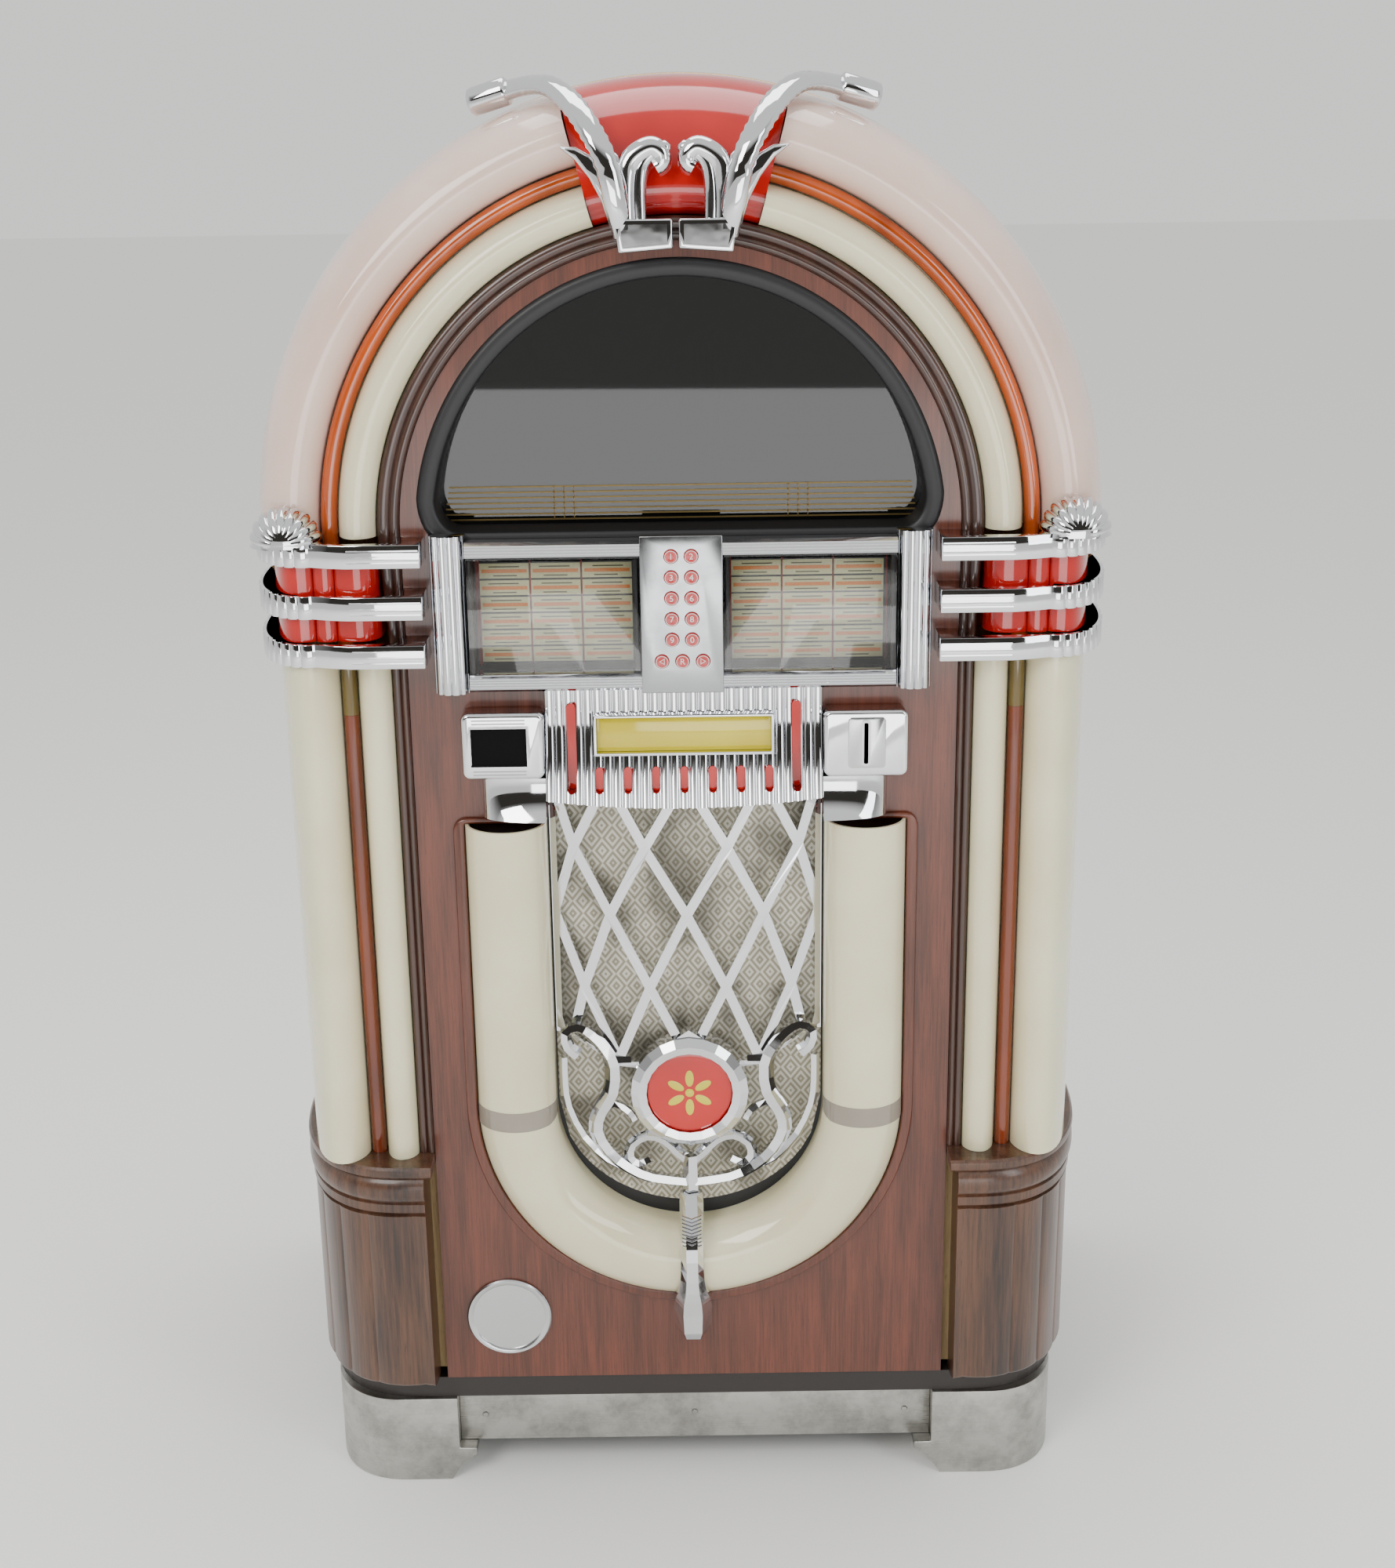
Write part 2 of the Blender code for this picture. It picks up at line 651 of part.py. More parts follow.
# Speaker
WOOFER_Z = 0.633
WOOFER_R = 0.125
WOOFER_HOLE_R = 0.112
WOOFER_RIM_T = 0.005
WOOFER_CONE_R = 0.050
WOOFER_CONE_DEPTH = 0.045
WOOFER_MAGNET_R = 0.058
WOOFER_MAGNET_T = 0.030
WOOFER_BASKET_T = 0.004
WOOFER_SIDES = 20


def build_speaker():
    """Baffle board across the door frame and the woofer on its back."""
    wide = WEB_IN_R - GAP
    front = at_depth(BAFFLE_D)
    rear_d = BAFFLE_D + BAFFLE_T
    board = box(-wide, wide, front, at_depth(rear_d), BOTTOM_RAIL_TOP_Z + GAP, BAFFLE_TOP_Z)
    centre = (0, WOOFER_Z)
    hole = [(x, z) for x, z in arc(*centre, WOOFER_HOLE_R, 0, 360 - 360 / WOOFER_SIDES, WOOFER_SIDES - 1)]
    board = carve(board, [prism(hole, "Y", front - OVERRUN, at_depth(rear_d) + OVERRUN)])
    add_part("speaker_baffle", board, "plywood")
    seat = rear_d + GAP
    rim = seat + WOOFER_RIM_T
    cone = seat + WOOFER_CONE_DEPTH
    stations = [
        (at_depth(cone - WOOFER_BASKET_T), WOOFER_CONE_R / 2),
        (at_depth(seat + WOOFER_BASKET_T), WOOFER_HOLE_R - WOOFER_RIM_T),
        (at_depth(seat), WOOFER_HOLE_R),
        (at_depth(seat), WOOFER_R),
        (at_depth(rim), WOOFER_R),
        (at_depth(rim), WOOFER_HOLE_R),
        (at_depth(cone), WOOFER_CONE_R),
        (at_depth(cone), WOOFER_MAGNET_R),
        (at_depth(cone + WOOFER_MAGNET_T), WOOFER_MAGNET_R),
    ]
    add_part("woofer", turned(centre, stations, "Y", WOOFER_SIDES), "black")


# Selector: pillars, boards and keypad plate round the title glass
SELECTOR_LOW_Z = 0.939
SELECTOR_HIGH_Z = 1.099
PILLAR_IN_X = 0.214
PILLAR_OUT_X = 0.250
PILLAR_RISE = 0.028
PILLAR_FLUTES = 6
PILLAR_FLUTE_T = 0.0035
BOARD_RISE = 0.026
TOP_BOARD_LOW_Z = 1.075
TOP_BOARD_HIGH_Z = 1.093
BOTTOM_BOARD_LOW_Z = 0.941
BOTTOM_BOARD_HIGH_Z = 0.958
KEYPAD_X = 0.041
KEYPAD_RISE = 0.030
KEYPAD_T = 0.0055
BUTTON_X = 0.010
BUTTON_PITCH_X = 0.0205
BUTTON_TOP_Z = 1.078
BUTTON_ROW = 0.021
BUTTON_BOTTOM_Z = 0.972
BUTTON_R = 0.0070
BUTTON_FIT = 0.0004
BUTTON_RISE = 0.0035
BUTTON_COLLAR_R = 0.0084
BUTTON_COLLAR_T = 0.002
TITLE_GLASS_D = -0.018
TITLE_GLASS_T = 0.003
TITLE_BRIDGE_H = 0.0045
TITLE_GAP_X = 0.034


def button_places():
    """Each button's name and its place on the keypad."""
    digits = "1234567890"
    places = []
    for i, digit in enumerate(digits):
        row, column = divmod(i, 2)
        places.append(("button_" + digit, BUTTON_X * (2 * column - 1), BUTTON_TOP_Z - BUTTON_ROW * row))
    for i, name in enumerate(("left", "reset", "right")):
        places.append(("button_" + name, BUTTON_PITCH_X * (i - 1), BUTTON_BOTTOM_Z))
    return places


def pillar_outline():
    """Plan of a fluted half pillar, bulging forwards."""
    middle = (PILLAR_IN_X + PILLAR_OUT_X) / 2
    half = (PILLAR_OUT_X - PILLAR_IN_X) / 2
    points = [(PILLAR_IN_X, at_depth(-GAP))]
    steps = PILLAR_FLUTES * 2
    for i in range(steps + 1):
        turn = math.pi * i / steps
        depth = PILLAR_RISE * math.sin(turn) ** 0.5 - (PILLAR_FLUTE_T if i % 2 == 0 else 0)
        points.append((middle - half * math.cos(turn), at_depth(-max(depth, PILLAR_FLUTE_T))))
    points.append((PILLAR_OUT_X, at_depth(-GAP)))
    return points


def build_selector():
    right = prism(pillar_outline(), "Z", SELECTOR_LOW_Z, SELECTOR_HIGH_Z)
    left = prism([(-x, y) for x, y in pillar_outline()], "Z", SELECTOR_LOW_Z, SELECTOR_HIGH_Z)
    back = at_depth(-GAP)
    reach = PILLAR_IN_X + WELD
    boards = [box(-reach, reach, at_depth(-BOARD_RISE), back, low, high) for low, high in
              ((TOP_BOARD_LOW_Z, TOP_BOARD_HIGH_Z), (BOTTOM_BOARD_LOW_Z, BOTTOM_BOARD_HIGH_Z))]
    plate = box(-KEYPAD_X, KEYPAD_X, at_depth(-KEYPAD_RISE), at_depth(KEYPAD_T - KEYPAD_RISE),
                SELECTOR_LOW_Z, SELECTOR_HIGH_Z - WELD)
    frame = join(boards[0], [plate, boards[1], right, left])
    cuts = []
    for _, x, z in button_places():
        cuts.append(cylinder((x, z), BUTTON_R + BUTTON_FIT, at_depth(-KEYPAD_RISE - OVERRUN),
                             at_depth(KEYPAD_T - KEYPAD_RISE + WELD), "Y", 8))
    reach_z = BUTTON_COLLAR_R + RUNNING_GAP
    notch = box(-PILLAR_OUT_X - OVERRUN, PILLAR_OUT_X + OVERRUN, at_depth(WINDOW_FRONT_D - RUNNING_GAP),
                at_depth(OVERRUN), WINDOW_BOTTOM_Z - RUNNING_GAP, SELECTOR_HIGH_Z + OVERRUN)
    cuts.append(notch)
    half = 2 * BUTTON_X
    cuts.append(box(-half, half, at_depth(KEYPAD_T - KEYPAD_RISE), at_depth(OVERRUN),
                    TOP_BOARD_LOW_Z - OVERRUN, BUTTON_TOP_Z + reach_z))
    add_part("selector_frame", carve(frame, cuts), "chrome")
    build_title_glass()
    for name, x, z in button_places():
        front = at_depth(-KEYPAD_RISE - BUTTON_RISE)
        rear = at_depth(KEYPAD_T - KEYPAD_RISE + GAP)
        stations = [(front, BUTTON_R - BUTTON_FIT * 2), (front + BUTTON_FIT * 2, BUTTON_R), (rear, BUTTON_R),
                    (rear, BUTTON_COLLAR_R), (rear + BUTTON_COLLAR_T, BUTTON_COLLAR_R)]
        add_part(name, turned((x, z), stations, "Y", 8), "red", (x, front, z))


def build_title_glass():
    """Two panes joined by a narrow bridge below the buttons."""
    low = BOTTOM_BOARD_HIGH_Z + GAP
    high = TOP_BOARD_LOW_Z - GAP
    wide = PILLAR_IN_X - GAP
    outline = [(-wide, low), (wide, low), (wide, high), (TITLE_GAP_X, high), (TITLE_GAP_X, low + TITLE_BRIDGE_H),
               (-TITLE_GAP_X, low + TITLE_BRIDGE_H), (-TITLE_GAP_X, high), (-wide, high)]
    front = TITLE_GLASS_D - TITLE_GLASS_T
    add_part("title_glass", prism(outline, "Y", at_depth(front), at_depth(TITLE_GLASS_D)), "glass")


# Title drum and its housing
DRUM_FACE = 0.108
DRUM_D = 0.066
DRUM_Z = 1.0155
DRUM_IN_X = 0.046
DRUM_OUT_X = 0.209
AXLE_R = 0.005
AXLE_FIT = 0.0004
HOUSING_X = 0.2285
HOUSING_T = 0.006
HOUSING_TOP_Z = 1.0995
HOUSING_LOW_Z = 0.9315
HOUSING_WALL = 0.003
HOUSING_STEP_D = 0.0480
HOUSING_REAR_D = 0.1485


def drum_ring(x, half, corner):
    """Square section of the drum with nicked corners, or the round axle."""
    points = []
    for i in range(4):
        for offset in (-1, 1):
            turn = math.pi / 4 + math.pi / 2 * i
            a = half * math.sqrt(2) * math.cos(turn) - offset * corner * math.sin(turn)
            b = half * math.sqrt(2) * math.sin(turn) + offset * corner * math.cos(turn)
            points.append((x, at_depth(DRUM_D) + a, DRUM_Z + b))
    return points


def build_title_drum():
    """Two square drums of song titles on one axle, and the box that carries them."""
    half = DRUM_FACE / 2
    nick = AXLE_R / 2
    axle = math.sqrt((AXLE_R ** 2 - nick ** 2) / 2) + nick / 2
    end = HOUSING_X - GAP
    spans = [(-end, axle), (-DRUM_OUT_X, axle), (-DRUM_OUT_X, half), (-DRUM_IN_X, half), (-DRUM_IN_X, axle),
             (DRUM_IN_X, axle), (DRUM_IN_X, half), (DRUM_OUT_X, half), (DRUM_OUT_X, axle), (end, axle)]
    rings = [drum_ring(x, size - nick / 2, nick) for x, size in spans]
    add_part("title_drum", skin(rings), "paper", (0.0, at_depth(DRUM_D), DRUM_Z))
    front = PANEL_T + GAP
    notch_z = WINDOW_BOTTOM_Z - RUNNING_GAP
    side = [(at_depth(front), HOUSING_LOW_Z), (at_depth(HOUSING_REAR_D), HOUSING_LOW_Z),
            (at_depth(HOUSING_REAR_D), HOUSING_TOP_Z), (at_depth(HOUSING_STEP_D), HOUSING_TOP_Z),
            (at_depth(HOUSING_STEP_D), notch_z), (at_depth(front), notch_z)]
    shell = prism(side, "X", -HOUSING_X, HOUSING_X)
    inner = HOUSING_X - HOUSING_T
    room = box(-inner, inner, at_depth(-OVERRUN), at_depth(HOUSING_REAR_D - HOUSING_WALL),
               HOUSING_LOW_Z + HOUSING_WALL, HOUSING_TOP_Z - HOUSING_WALL)
    bore = cylinder((at_depth(DRUM_D), DRUM_Z), AXLE_R + AXLE_FIT, -HOUSING_X - OVERRUN,
                    HOUSING_X + OVERRUN, "X", 12)
    add_part("title_housing", carve(shell, [room, bore]), "zinc")


# Header casting, its lit slots and sign plate
HEADER_X = 0.141
HEADER_TOP_Z = 0.9405
HEADER_LOW_Z = 0.822
HEADER_END_RISE = 0.008
HEADER_TOP_RISE = 0.016
HEADER_LOW_RISE = 0.045
HEADER_FLUTES = 29
HEADER_FLUTE_T = 0.0028
HEADER_WALL = 0.005
SIGN_X = 0.090
SIGN_LOW_Z = 0.874
SIGN_HIGH_Z = 0.914
SLOT_PITCH = 0.0287
SLOT_W = 0.0085
SLOT_LOW_Z = 0.836
SLOT_HIGH_Z = 0.862
LONG_SLOT_X = 0.114
LONG_SLOT_W = 0.010
LONG_SLOT_HIGH_Z = 0.927
LENS_RECESS = 0.003
LENS_BACK_T = 0.003


def header_depth(z):
    """How far the flared face stands out at a height."""
    share = max(0.0, (HEADER_TOP_Z - z) / (HEADER_TOP_Z - HEADER_LOW_Z))
    return HEADER_TOP_RISE + (HEADER_LOW_RISE - HEADER_TOP_RISE) * share ** 2.2


def header_slots():
    """Centre, width, bottom and top of each slot."""
    slots = [(SLOT_PITCH * i, SLOT_W, SLOT_LOW_Z, SLOT_HIGH_Z) for i in range(-3, 4)]
    slots += [(side * LONG_SLOT_X, LONG_SLOT_W, SLOT_LOW_Z, LONG_SLOT_HIGH_Z) for side in (LEFT, RIGHT)]
    return slots


def build_header():
    stations = HEADER_FLUTES * 2
    rings = []
    for i in range(stations + 1):
        x = HEADER_X * (2 * i / stations - 1)
        low = HEADER_LOW_Z + HEADER_END_RISE * (x / HEADER_X) ** 2
        dip = HEADER_FLUTE_T if i % 2 == 0 else 0
        ring = [(x, at_depth(-GAP), HEADER_TOP_Z), (x, at_depth(-GAP), low)]
        for k in range(4):
            z = low + (HEADER_TOP_Z - low) * (k / 3) ** 1.5
            ring.append((x, at_depth(dip - header_depth(z)), z))
        rings.append(ring)
    casting = skin(rings)
    wall = HEADER_WALL
    lens_front = HEADER_TOP_RISE - HEADER_FLUTE_T - wall
    room = box(wall - HEADER_X, HEADER_X - wall, at_depth(-lens_front), at_depth(OVERRUN),
               SLOT_LOW_Z - LENS_RECESS, HEADER_TOP_Z - wall)
    front = at_depth(-HEADER_LOW_RISE - OVERRUN)
    cuts = [room, box(-SIGN_X, SIGN_X, front, at_depth(0), SIGN_LOW_Z, SIGN_HIGH_Z)]
    for x, width, low, high in header_slots():
        cuts.append(box(x - width / 2, x + width / 2, front, at_depth(0), low, high))
    add_part("header_casting", carve(casting, cuts), "chrome")
    back = lens_front - GAP
    plate = box(wall + GAP - HEADER_X, HEADER_X - wall - GAP, at_depth(-back), at_depth(LENS_BACK_T - back),
                SLOT_LOW_Z - LENS_RECESS + GAP, HEADER_TOP_Z - wall - GAP)
    lights = []
    for x, width, low, high in header_slots():
        half = width / 2 - GAP
        bottom = low + GAP
        top = high - GAP
        side = [(at_depth(WELD - back), bottom), (at_depth(LENS_RECESS - header_depth(bottom)), bottom),
                (at_depth(min(LENS_RECESS - header_depth(top), -back)), top), (at_depth(WELD - back), top)]
        lights.append(prism(side, "X", x - half, x + half))
    middle = (SIGN_LOW_Z + SIGN_HIGH_Z) / 2
    lights.append(box(GAP - SIGN_X, SIGN_X - GAP, at_depth(LENS_RECESS - header_depth(middle)),
                      at_depth(WELD - back), SIGN_LOW_Z + GAP, SIGN_HIGH_Z - GAP))
    add_part("header_lens", join(plate, lights), "red")


# Price and coin housings beside the header
HOUSING_RISE = 0.030
HOUSING_CORNER = 0.008
CAP_RISE = 0.040
CAP_TOP_Z = 0.849
CAP_CURVE_DROP = 0.010
PRICE_OUT_X = 0.225
PRICE_LOW_Z = 0.85
PRICE_HIGH_Z = 0.92
PRICE_CARD_OUT_X = 0.216
PRICE_CARD_IN_X = 0.159
PRICE_CARD_LOW_Z = 0.864
PRICE_CARD_HIGH_Z = 0.904
CARD_DEPTH = 0.004
CAP_OUT_X = 0.208
PRICE_CAP_LOW_Z = 0.807
COIN_OUT_X = 0.227
COIN_LOW_Z = 0.848
COIN_HIGH_Z = 0.918
COIN_SLOT_W = 0.0045
COIN_SLOT_LOW_Z = 0.863
COIN_SLOT_HIGH_Z = 0.906
COIN_CAP_LOW_Z = 0.805


def side_housing(side, out_x, low, high, cap_low):
    """Rounded box with the flared cap of the grille tube under it."""
    inner = HEADER_X + GAP
    outline = rounded_box(inner, out_x, low, high, HOUSING_CORNER, 2)
    outline = [(x if x > inner + HOUSING_CORNER / 2 else inner, z) for x, z in outline]
    body = prism(outline, "Y", at_depth(-HOUSING_RISE), at_depth(-GAP))
    rings = []
    levels = ((cap_low, 1.0), (cap_low + CAP_CURVE_DROP, 0.86), ((cap_low + CAP_TOP_Z) / 2, 0.72), (low + WELD, 0.68))
    for z, share in levels:
        rise = CAP_RISE * share
        rings.append([(inner, at_depth(-GAP), z), (CAP_OUT_X, at_depth(-GAP), z), (CAP_OUT_X, at_depth(-rise), z),
                      (inner, at_depth(-rise), z)])
    whole = join(body, [skin(rings)])
    return mirrored(whole) if side == LEFT else whole


def build_housings():
    clear = U_TOP_Z + RUNNING_GAP
    price = side_housing(LEFT, PRICE_OUT_X, PRICE_LOW_Z, PRICE_HIGH_Z, max(PRICE_CAP_LOW_Z, clear))
    card = box(-PRICE_CARD_OUT_X, -PRICE_CARD_IN_X, at_depth(-HOUSING_RISE - OVERRUN),
               at_depth(CARD_DEPTH - HOUSING_RISE), PRICE_CARD_LOW_Z, PRICE_CARD_HIGH_Z)
    add_part("price_housing", carve(price, [card]), "chrome")
    coin = side_housing(RIGHT, COIN_OUT_X, COIN_LOW_Z, COIN_HIGH_Z, max(COIN_CAP_LOW_Z, clear))
    slot = box(CHUTE_X - COIN_SLOT_W / 2, CHUTE_X + COIN_SLOT_W / 2, at_depth(-HOUSING_RISE - OVERRUN),
               at_depth(OVERRUN), COIN_SLOT_LOW_Z, COIN_SLOT_HIGH_Z)
    add_part("coin_housing", carve(coin, [slot]), "chrome")


# Column bands and collars
BAND_TOPS = (0.0, 0.052, 0.101)
BAND_TOP_Z = 1.096
BAND_H = 0.0235
BAND_IN_X = 0.255
BAND_FLAT_X = 0.328
BAND_FRONT_D = -0.045
BAND_LOBE_D = -0.037
BAND_PROUD = 0.003
BAND_OUT_X = CABINET_R + BAND_PROUD
BAND_CENTRE_X = 0.365
BAND_CENTRE_D = 0.120
BAND_LAP = 0.0045
BAND_REAR_D = FLANGE_D + BAND_LAP
BAND_WALL = 0.005
BAND_RIBS = 10
BAND_RIB_T = 0.0030
BAND_LEG_X = 0.285
BAND_STRAP_W = 0.007
BAND_STRAP_T = 0.011
BAND_STRAP_X = CABINET_R - FLANGE_INSET - BAND_STRAP_W
BAND_STRAP_D = FLANGE_D - BAND_STRAP_T
COLLAR_VALLEY_D = -0.018
COLLAR_VALLEY_X = 0.344
COLLAR_VALLEY2_X = 0.365
COLLAR_PEAK_D = -0.0255
COLLAR_INSET = 0.017
COLLAR_OUT_R = CABINET_R - COLLAR_INSET
SHELL_X = 0.389
SHELL_R = 0.036
SHELL_RIBS = 9
SHELL_BASE_DROP = 0.004
SHELL_FRONT_D = -0.046
SHELL_BACK_D = -0.0128


def round_corner(centre, reach, start, end, steps, power, wave=0.0):
    """Plan curve from the front of a corner round to its side, with optional ribs."""
    points = []
    for i in range(steps + 1):
        turn = math.radians(start + (end - start) * i / steps)
        swing = wave if i % 2 else 0.0
        across = math.sin(turn) ** (2 / power)
        along = math.cos(turn) ** (2 / power)
        points.append((centre[0] + (reach[0] - swing) * across, centre[1] - (reach[1] - swing) * along))
    return points


def band_outline():
    centre = (BAND_CENTRE_X, BAND_CENTRE_D)
    reach = (BAND_OUT_X - BAND_CENTRE_X, BAND_CENTRE_D - BAND_LOBE_D)
    inner = (reach[0] - BAND_WALL, reach[1] - BAND_WALL)
    facet_x = (BAND_FLAT_X + BAND_CENTRE_X) / 2
    facet_d = (BAND_FRONT_D + BAND_LOBE_D) / 2
    points = [(SEAM_R, -GAP), (BAND_IN_X, -GAP), (BAND_IN_X, BAND_FRONT_D), (BAND_FLAT_X, BAND_FRONT_D),
              (facet_x, facet_d)]
    points += round_corner(centre, reach, 0, 90, BAND_RIBS * 2, 2.4, BAND_RIB_T)
    points += [(BAND_OUT_X, BAND_REAR_D), (FLANGE_R + GAP, BAND_REAR_D), (FLANGE_R + GAP, FLANGE_D - GAP),
               (BAND_STRAP_X, FLANGE_D - GAP), (BAND_STRAP_X, BAND_STRAP_D), (BAND_OUT_X - BAND_WALL, BAND_STRAP_D)]
    points += round_corner(centre, inner, 90, 0, 8, 2.4)
    points += [(BAND_LEG_X, BAND_LOBE_D + BAND_WALL), (BAND_LEG_X, -MOULDING_RISE - RUNNING_GAP),
               (SEAM_R, -MOULDING_RISE - RUNNING_GAP)]
    return [(x, at_depth(d)) for x, d in points]


def scallop(z):
    """Fan of ribs standing on the top band, small at the front and full at the back."""
    rings = []
    steps = SHELL_RIBS * 2
    for d, size in ((SHELL_BACK_D, 1.0), ((SHELL_BACK_D + SHELL_FRONT_D) / 2, 0.93), (SHELL_FRONT_D, 0.45)):
        ring = [(SHELL_X + SHELL_R * size, at_depth(d), z - SHELL_BASE_DROP)]
        for i in range(steps + 1):
            turn = math.pi * i / steps
            r = SHELL_R * size * (1 if i % 2 else 0.93)
            ring.append((SHELL_X + r * math.cos(turn), at_depth(d), z + r * math.sin(turn)))
        ring.append((SHELL_X - SHELL_R * size, at_depth(d), z - SHELL_BASE_DROP))
        rings.append(ring)
    return skin(rings)


def build_bands():
    """Three wrapped bands on a strap, the scallop on the top one, and the red collar behind."""
    low = BAND_TOP_Z - BAND_TOPS[-1] - BAND_H
    for name, side in SIDES.items():
        bands = [prism(band_outline(), "Z", BAND_TOP_Z - drop - BAND_H, BAND_TOP_Z - drop) for drop in BAND_TOPS]
        strap = box(BAND_STRAP_X + WELD, FLANGE_R - WELD, at_depth(BAND_STRAP_D + WELD),
                    at_depth(FLANGE_D - GAP - WELD), low + WELD, BAND_TOP_Z - WELD)
        whole = join(bands[0], bands[1:] + [strap, scallop(BAND_TOP_Z)])
        add_part("band_casting_" + name, mirrored(whole) if side == LEFT else whole, "chrome")
    build_collars(BAND_TOP_Z - BAND_TOPS[-1], BAND_TOP_Z - BAND_H)


def build_collars(low, high):
    """Red three-lobed collars showing between the bands."""
    def curve(inset):
        start = MOULDING_R + GAP + inset
        side = COLLAR_OUT_R - inset
        rear = FLANGE_D - GAP
        valley = COLLAR_VALLEY_D + inset
        peak = COLLAR_PEAK_D + inset
        points = [(start, rear)]
        points += lobe(start, COLLAR_VALLEY_X, inset, valley, (start + COLLAR_VALLEY_X) / 2, peak, 2)
        points += lobe(COLLAR_VALLEY_X, COLLAR_VALLEY2_X, valley, valley, (COLLAR_VALLEY_X + COLLAR_VALLEY2_X) / 2,
                       peak, 2)[1:]
        points += lobe(COLLAR_VALLEY2_X, side, valley, COLUMN_SIDE_D, (COLLAR_VALLEY2_X + COLLAR_VALLEY_X) / 2
                       + OUTER_PEAK_OFFSET, peak, 3)[1:]
        points.append((side, rear))
        return points
    section = curve(0) + curve(PLASTIC_T)[::-1]
    for name, side in SIDES.items():
        rings = [leg_ring(section, side, low + GAP), leg_ring(section, side, high - GAP)]
        add_part("red_collar_" + name, skin(rings), "red")


# Crown: a pair of mirrored castings over the red centre piece
CROWN_FOOT_IN_X = 0.003
CROWN_FOOT_OUT_X = 0.058
CROWN_FOOT_LOW_Z = 1.368
CROWN_FOOT_H = 0.031
CROWN_FOOT_D = -0.036
CROWN_PILLAR_X = 0.047
CROWN_PILLAR_R = 0.0115
CROWN_SCROLL_Z = 1.463
CROWN_SCROLL_X = 0.012
CROWN_PILLAR_D = -0.0265
CROWN_HORN_W = 0.0125
CROWN_HORN_T = 0.0085
CROWN_WING_X = 0.109
CROWN_WING_Z = 1.465
CROWN_DRUM_R = 0.014
CROWN_DRUM_L = 0.044
CROWN_DRUM_D = 0.080
# The horn's course over the arch, as shares of the arch's outer radius, degrees
# from upright, and shares of the depth from the front to the drum
HORN_SHARES = ((0.675, 9.6, -0.28), (0.74, 9.8, -0.42), (0.83, 10.2, -0.46), (0.90, 11.6, -0.36),
               (0.965, 13.4, -0.06), (1.010, 15.6, 0.36), (1.028, 18.0, 0.70), (1.036, 20.5, 0.93),
               (1.040, 22.6, 1.0))


def polar_place(r, angle, d):
    turn = math.radians(angle)
    return (r * math.sin(turn), at_depth(d), ARCH_Z + r * math.cos(turn))


def crown_half():
    foot_top = CROWN_FOOT_LOW_Z + CROWN_FOOT_H
    tilt = CROWN_FOOT_H / 8
    outline = [(CROWN_FOOT_IN_X, CROWN_FOOT_LOW_Z + tilt), (CROWN_FOOT_OUT_X - tilt, CROWN_FOOT_LOW_Z),
               (CROWN_FOOT_OUT_X, foot_top), (CROWN_FOOT_IN_X, foot_top)]
    foot = prism(outline, "Y", at_depth(CROWN_FOOT_D), at_depth(ARCH_OUTER_PEAK_D - RUNNING_GAP))
    heel_top = ARCH_Z + MOULDING_R - CROWN_FOOT_H / 4
    heel = prism([(CROWN_FOOT_IN_X, CROWN_FOOT_LOW_Z + tilt), (CROWN_FOOT_OUT_X - tilt, CROWN_FOOT_LOW_Z),
                  (CROWN_FOOT_OUT_X - tilt, heel_top), (CROWN_FOOT_IN_X, heel_top)], "Y",
                 at_depth(ARCH_OUTER_PEAK_D - RUNNING_GAP * 2), at_depth(-MOULDING_RISE - GAP))
    scroll = smooth_path([
        (CROWN_PILLAR_X, at_depth(CROWN_PILLAR_D), foot_top - CROWN_FOOT_H / 3),
        (CROWN_PILLAR_X, at_depth(CROWN_PILLAR_D), (foot_top + CROWN_SCROLL_Z) / 2),
        (CROWN_PILLAR_X - CROWN_PILLAR_R / 2, at_depth(CROWN_PILLAR_D), CROWN_SCROLL_Z - CROWN_PILLAR_R),
        (CROWN_SCROLL_X + CROWN_PILLAR_R, at_depth(CROWN_PILLAR_D), CROWN_SCROLL_Z),
        (CROWN_SCROLL_X, at_depth(CROWN_PILLAR_D), CROWN_SCROLL_Z - CROWN_PILLAR_R * 0.9)], 3)
    sizes = [CROWN_PILLAR_R * (1 if i < 9 else 0.85) for i in range(len(scroll))]
    pillar = sweep(scroll, sizes, [size * 0.9 for size in sizes], 8)
    span = CROWN_DRUM_D
    course = [polar_place(ARCH_OUT_R * r, angle, span * d) for r, angle, d in HORN_SHARES]
    widths = [CROWN_HORN_W] * len(course)
    horn = sweep(course, widths, [CROWN_HORN_T] * len(course), 8, (0.0, -0.6, 0.8))
    wing_root = ARCH_Z + ARCH_OUT_R * HORN_SHARES[0][0]
    wing = prism([(CROWN_FOOT_OUT_X - tilt * 2, wing_root), (CROWN_FOOT_OUT_X + tilt, wing_root),
                  (CROWN_WING_X - CROWN_HORN_W * 1.6, CROWN_WING_Z - CROWN_HORN_W * 1.7),
                  (CROWN_WING_X, CROWN_WING_Z), (CROWN_WING_X - CROWN_HORN_W * 3, CROWN_WING_Z)],
                 "Y", at_depth(CROWN_FOOT_D * 0.9), at_depth(INNER_PEAK_D - RUNNING_GAP))
    hub = Vector(course[-1])
    along = (hub - Vector(course[-2])).normalized()
    drum = sweep([hub - along * CROWN_DRUM_L * share for share in (0.3, 0.2, -0.62, -0.7)],
                 [CROWN_DRUM_R * share for share in (0.8, 1, 1, 0.8)],
                 [CROWN_DRUM_R * share for share in (0.8, 1, 1, 0.8)], 10, (0.0, -0.6, 0.8))
    return join(foot, [heel, pillar, horn, wing, drum])


def build_crown():
    for name, side in SIDES.items():
        half = crown_half()
        add_part("crown_" + name, mirrored(half) if side == LEFT else half, "chrome")


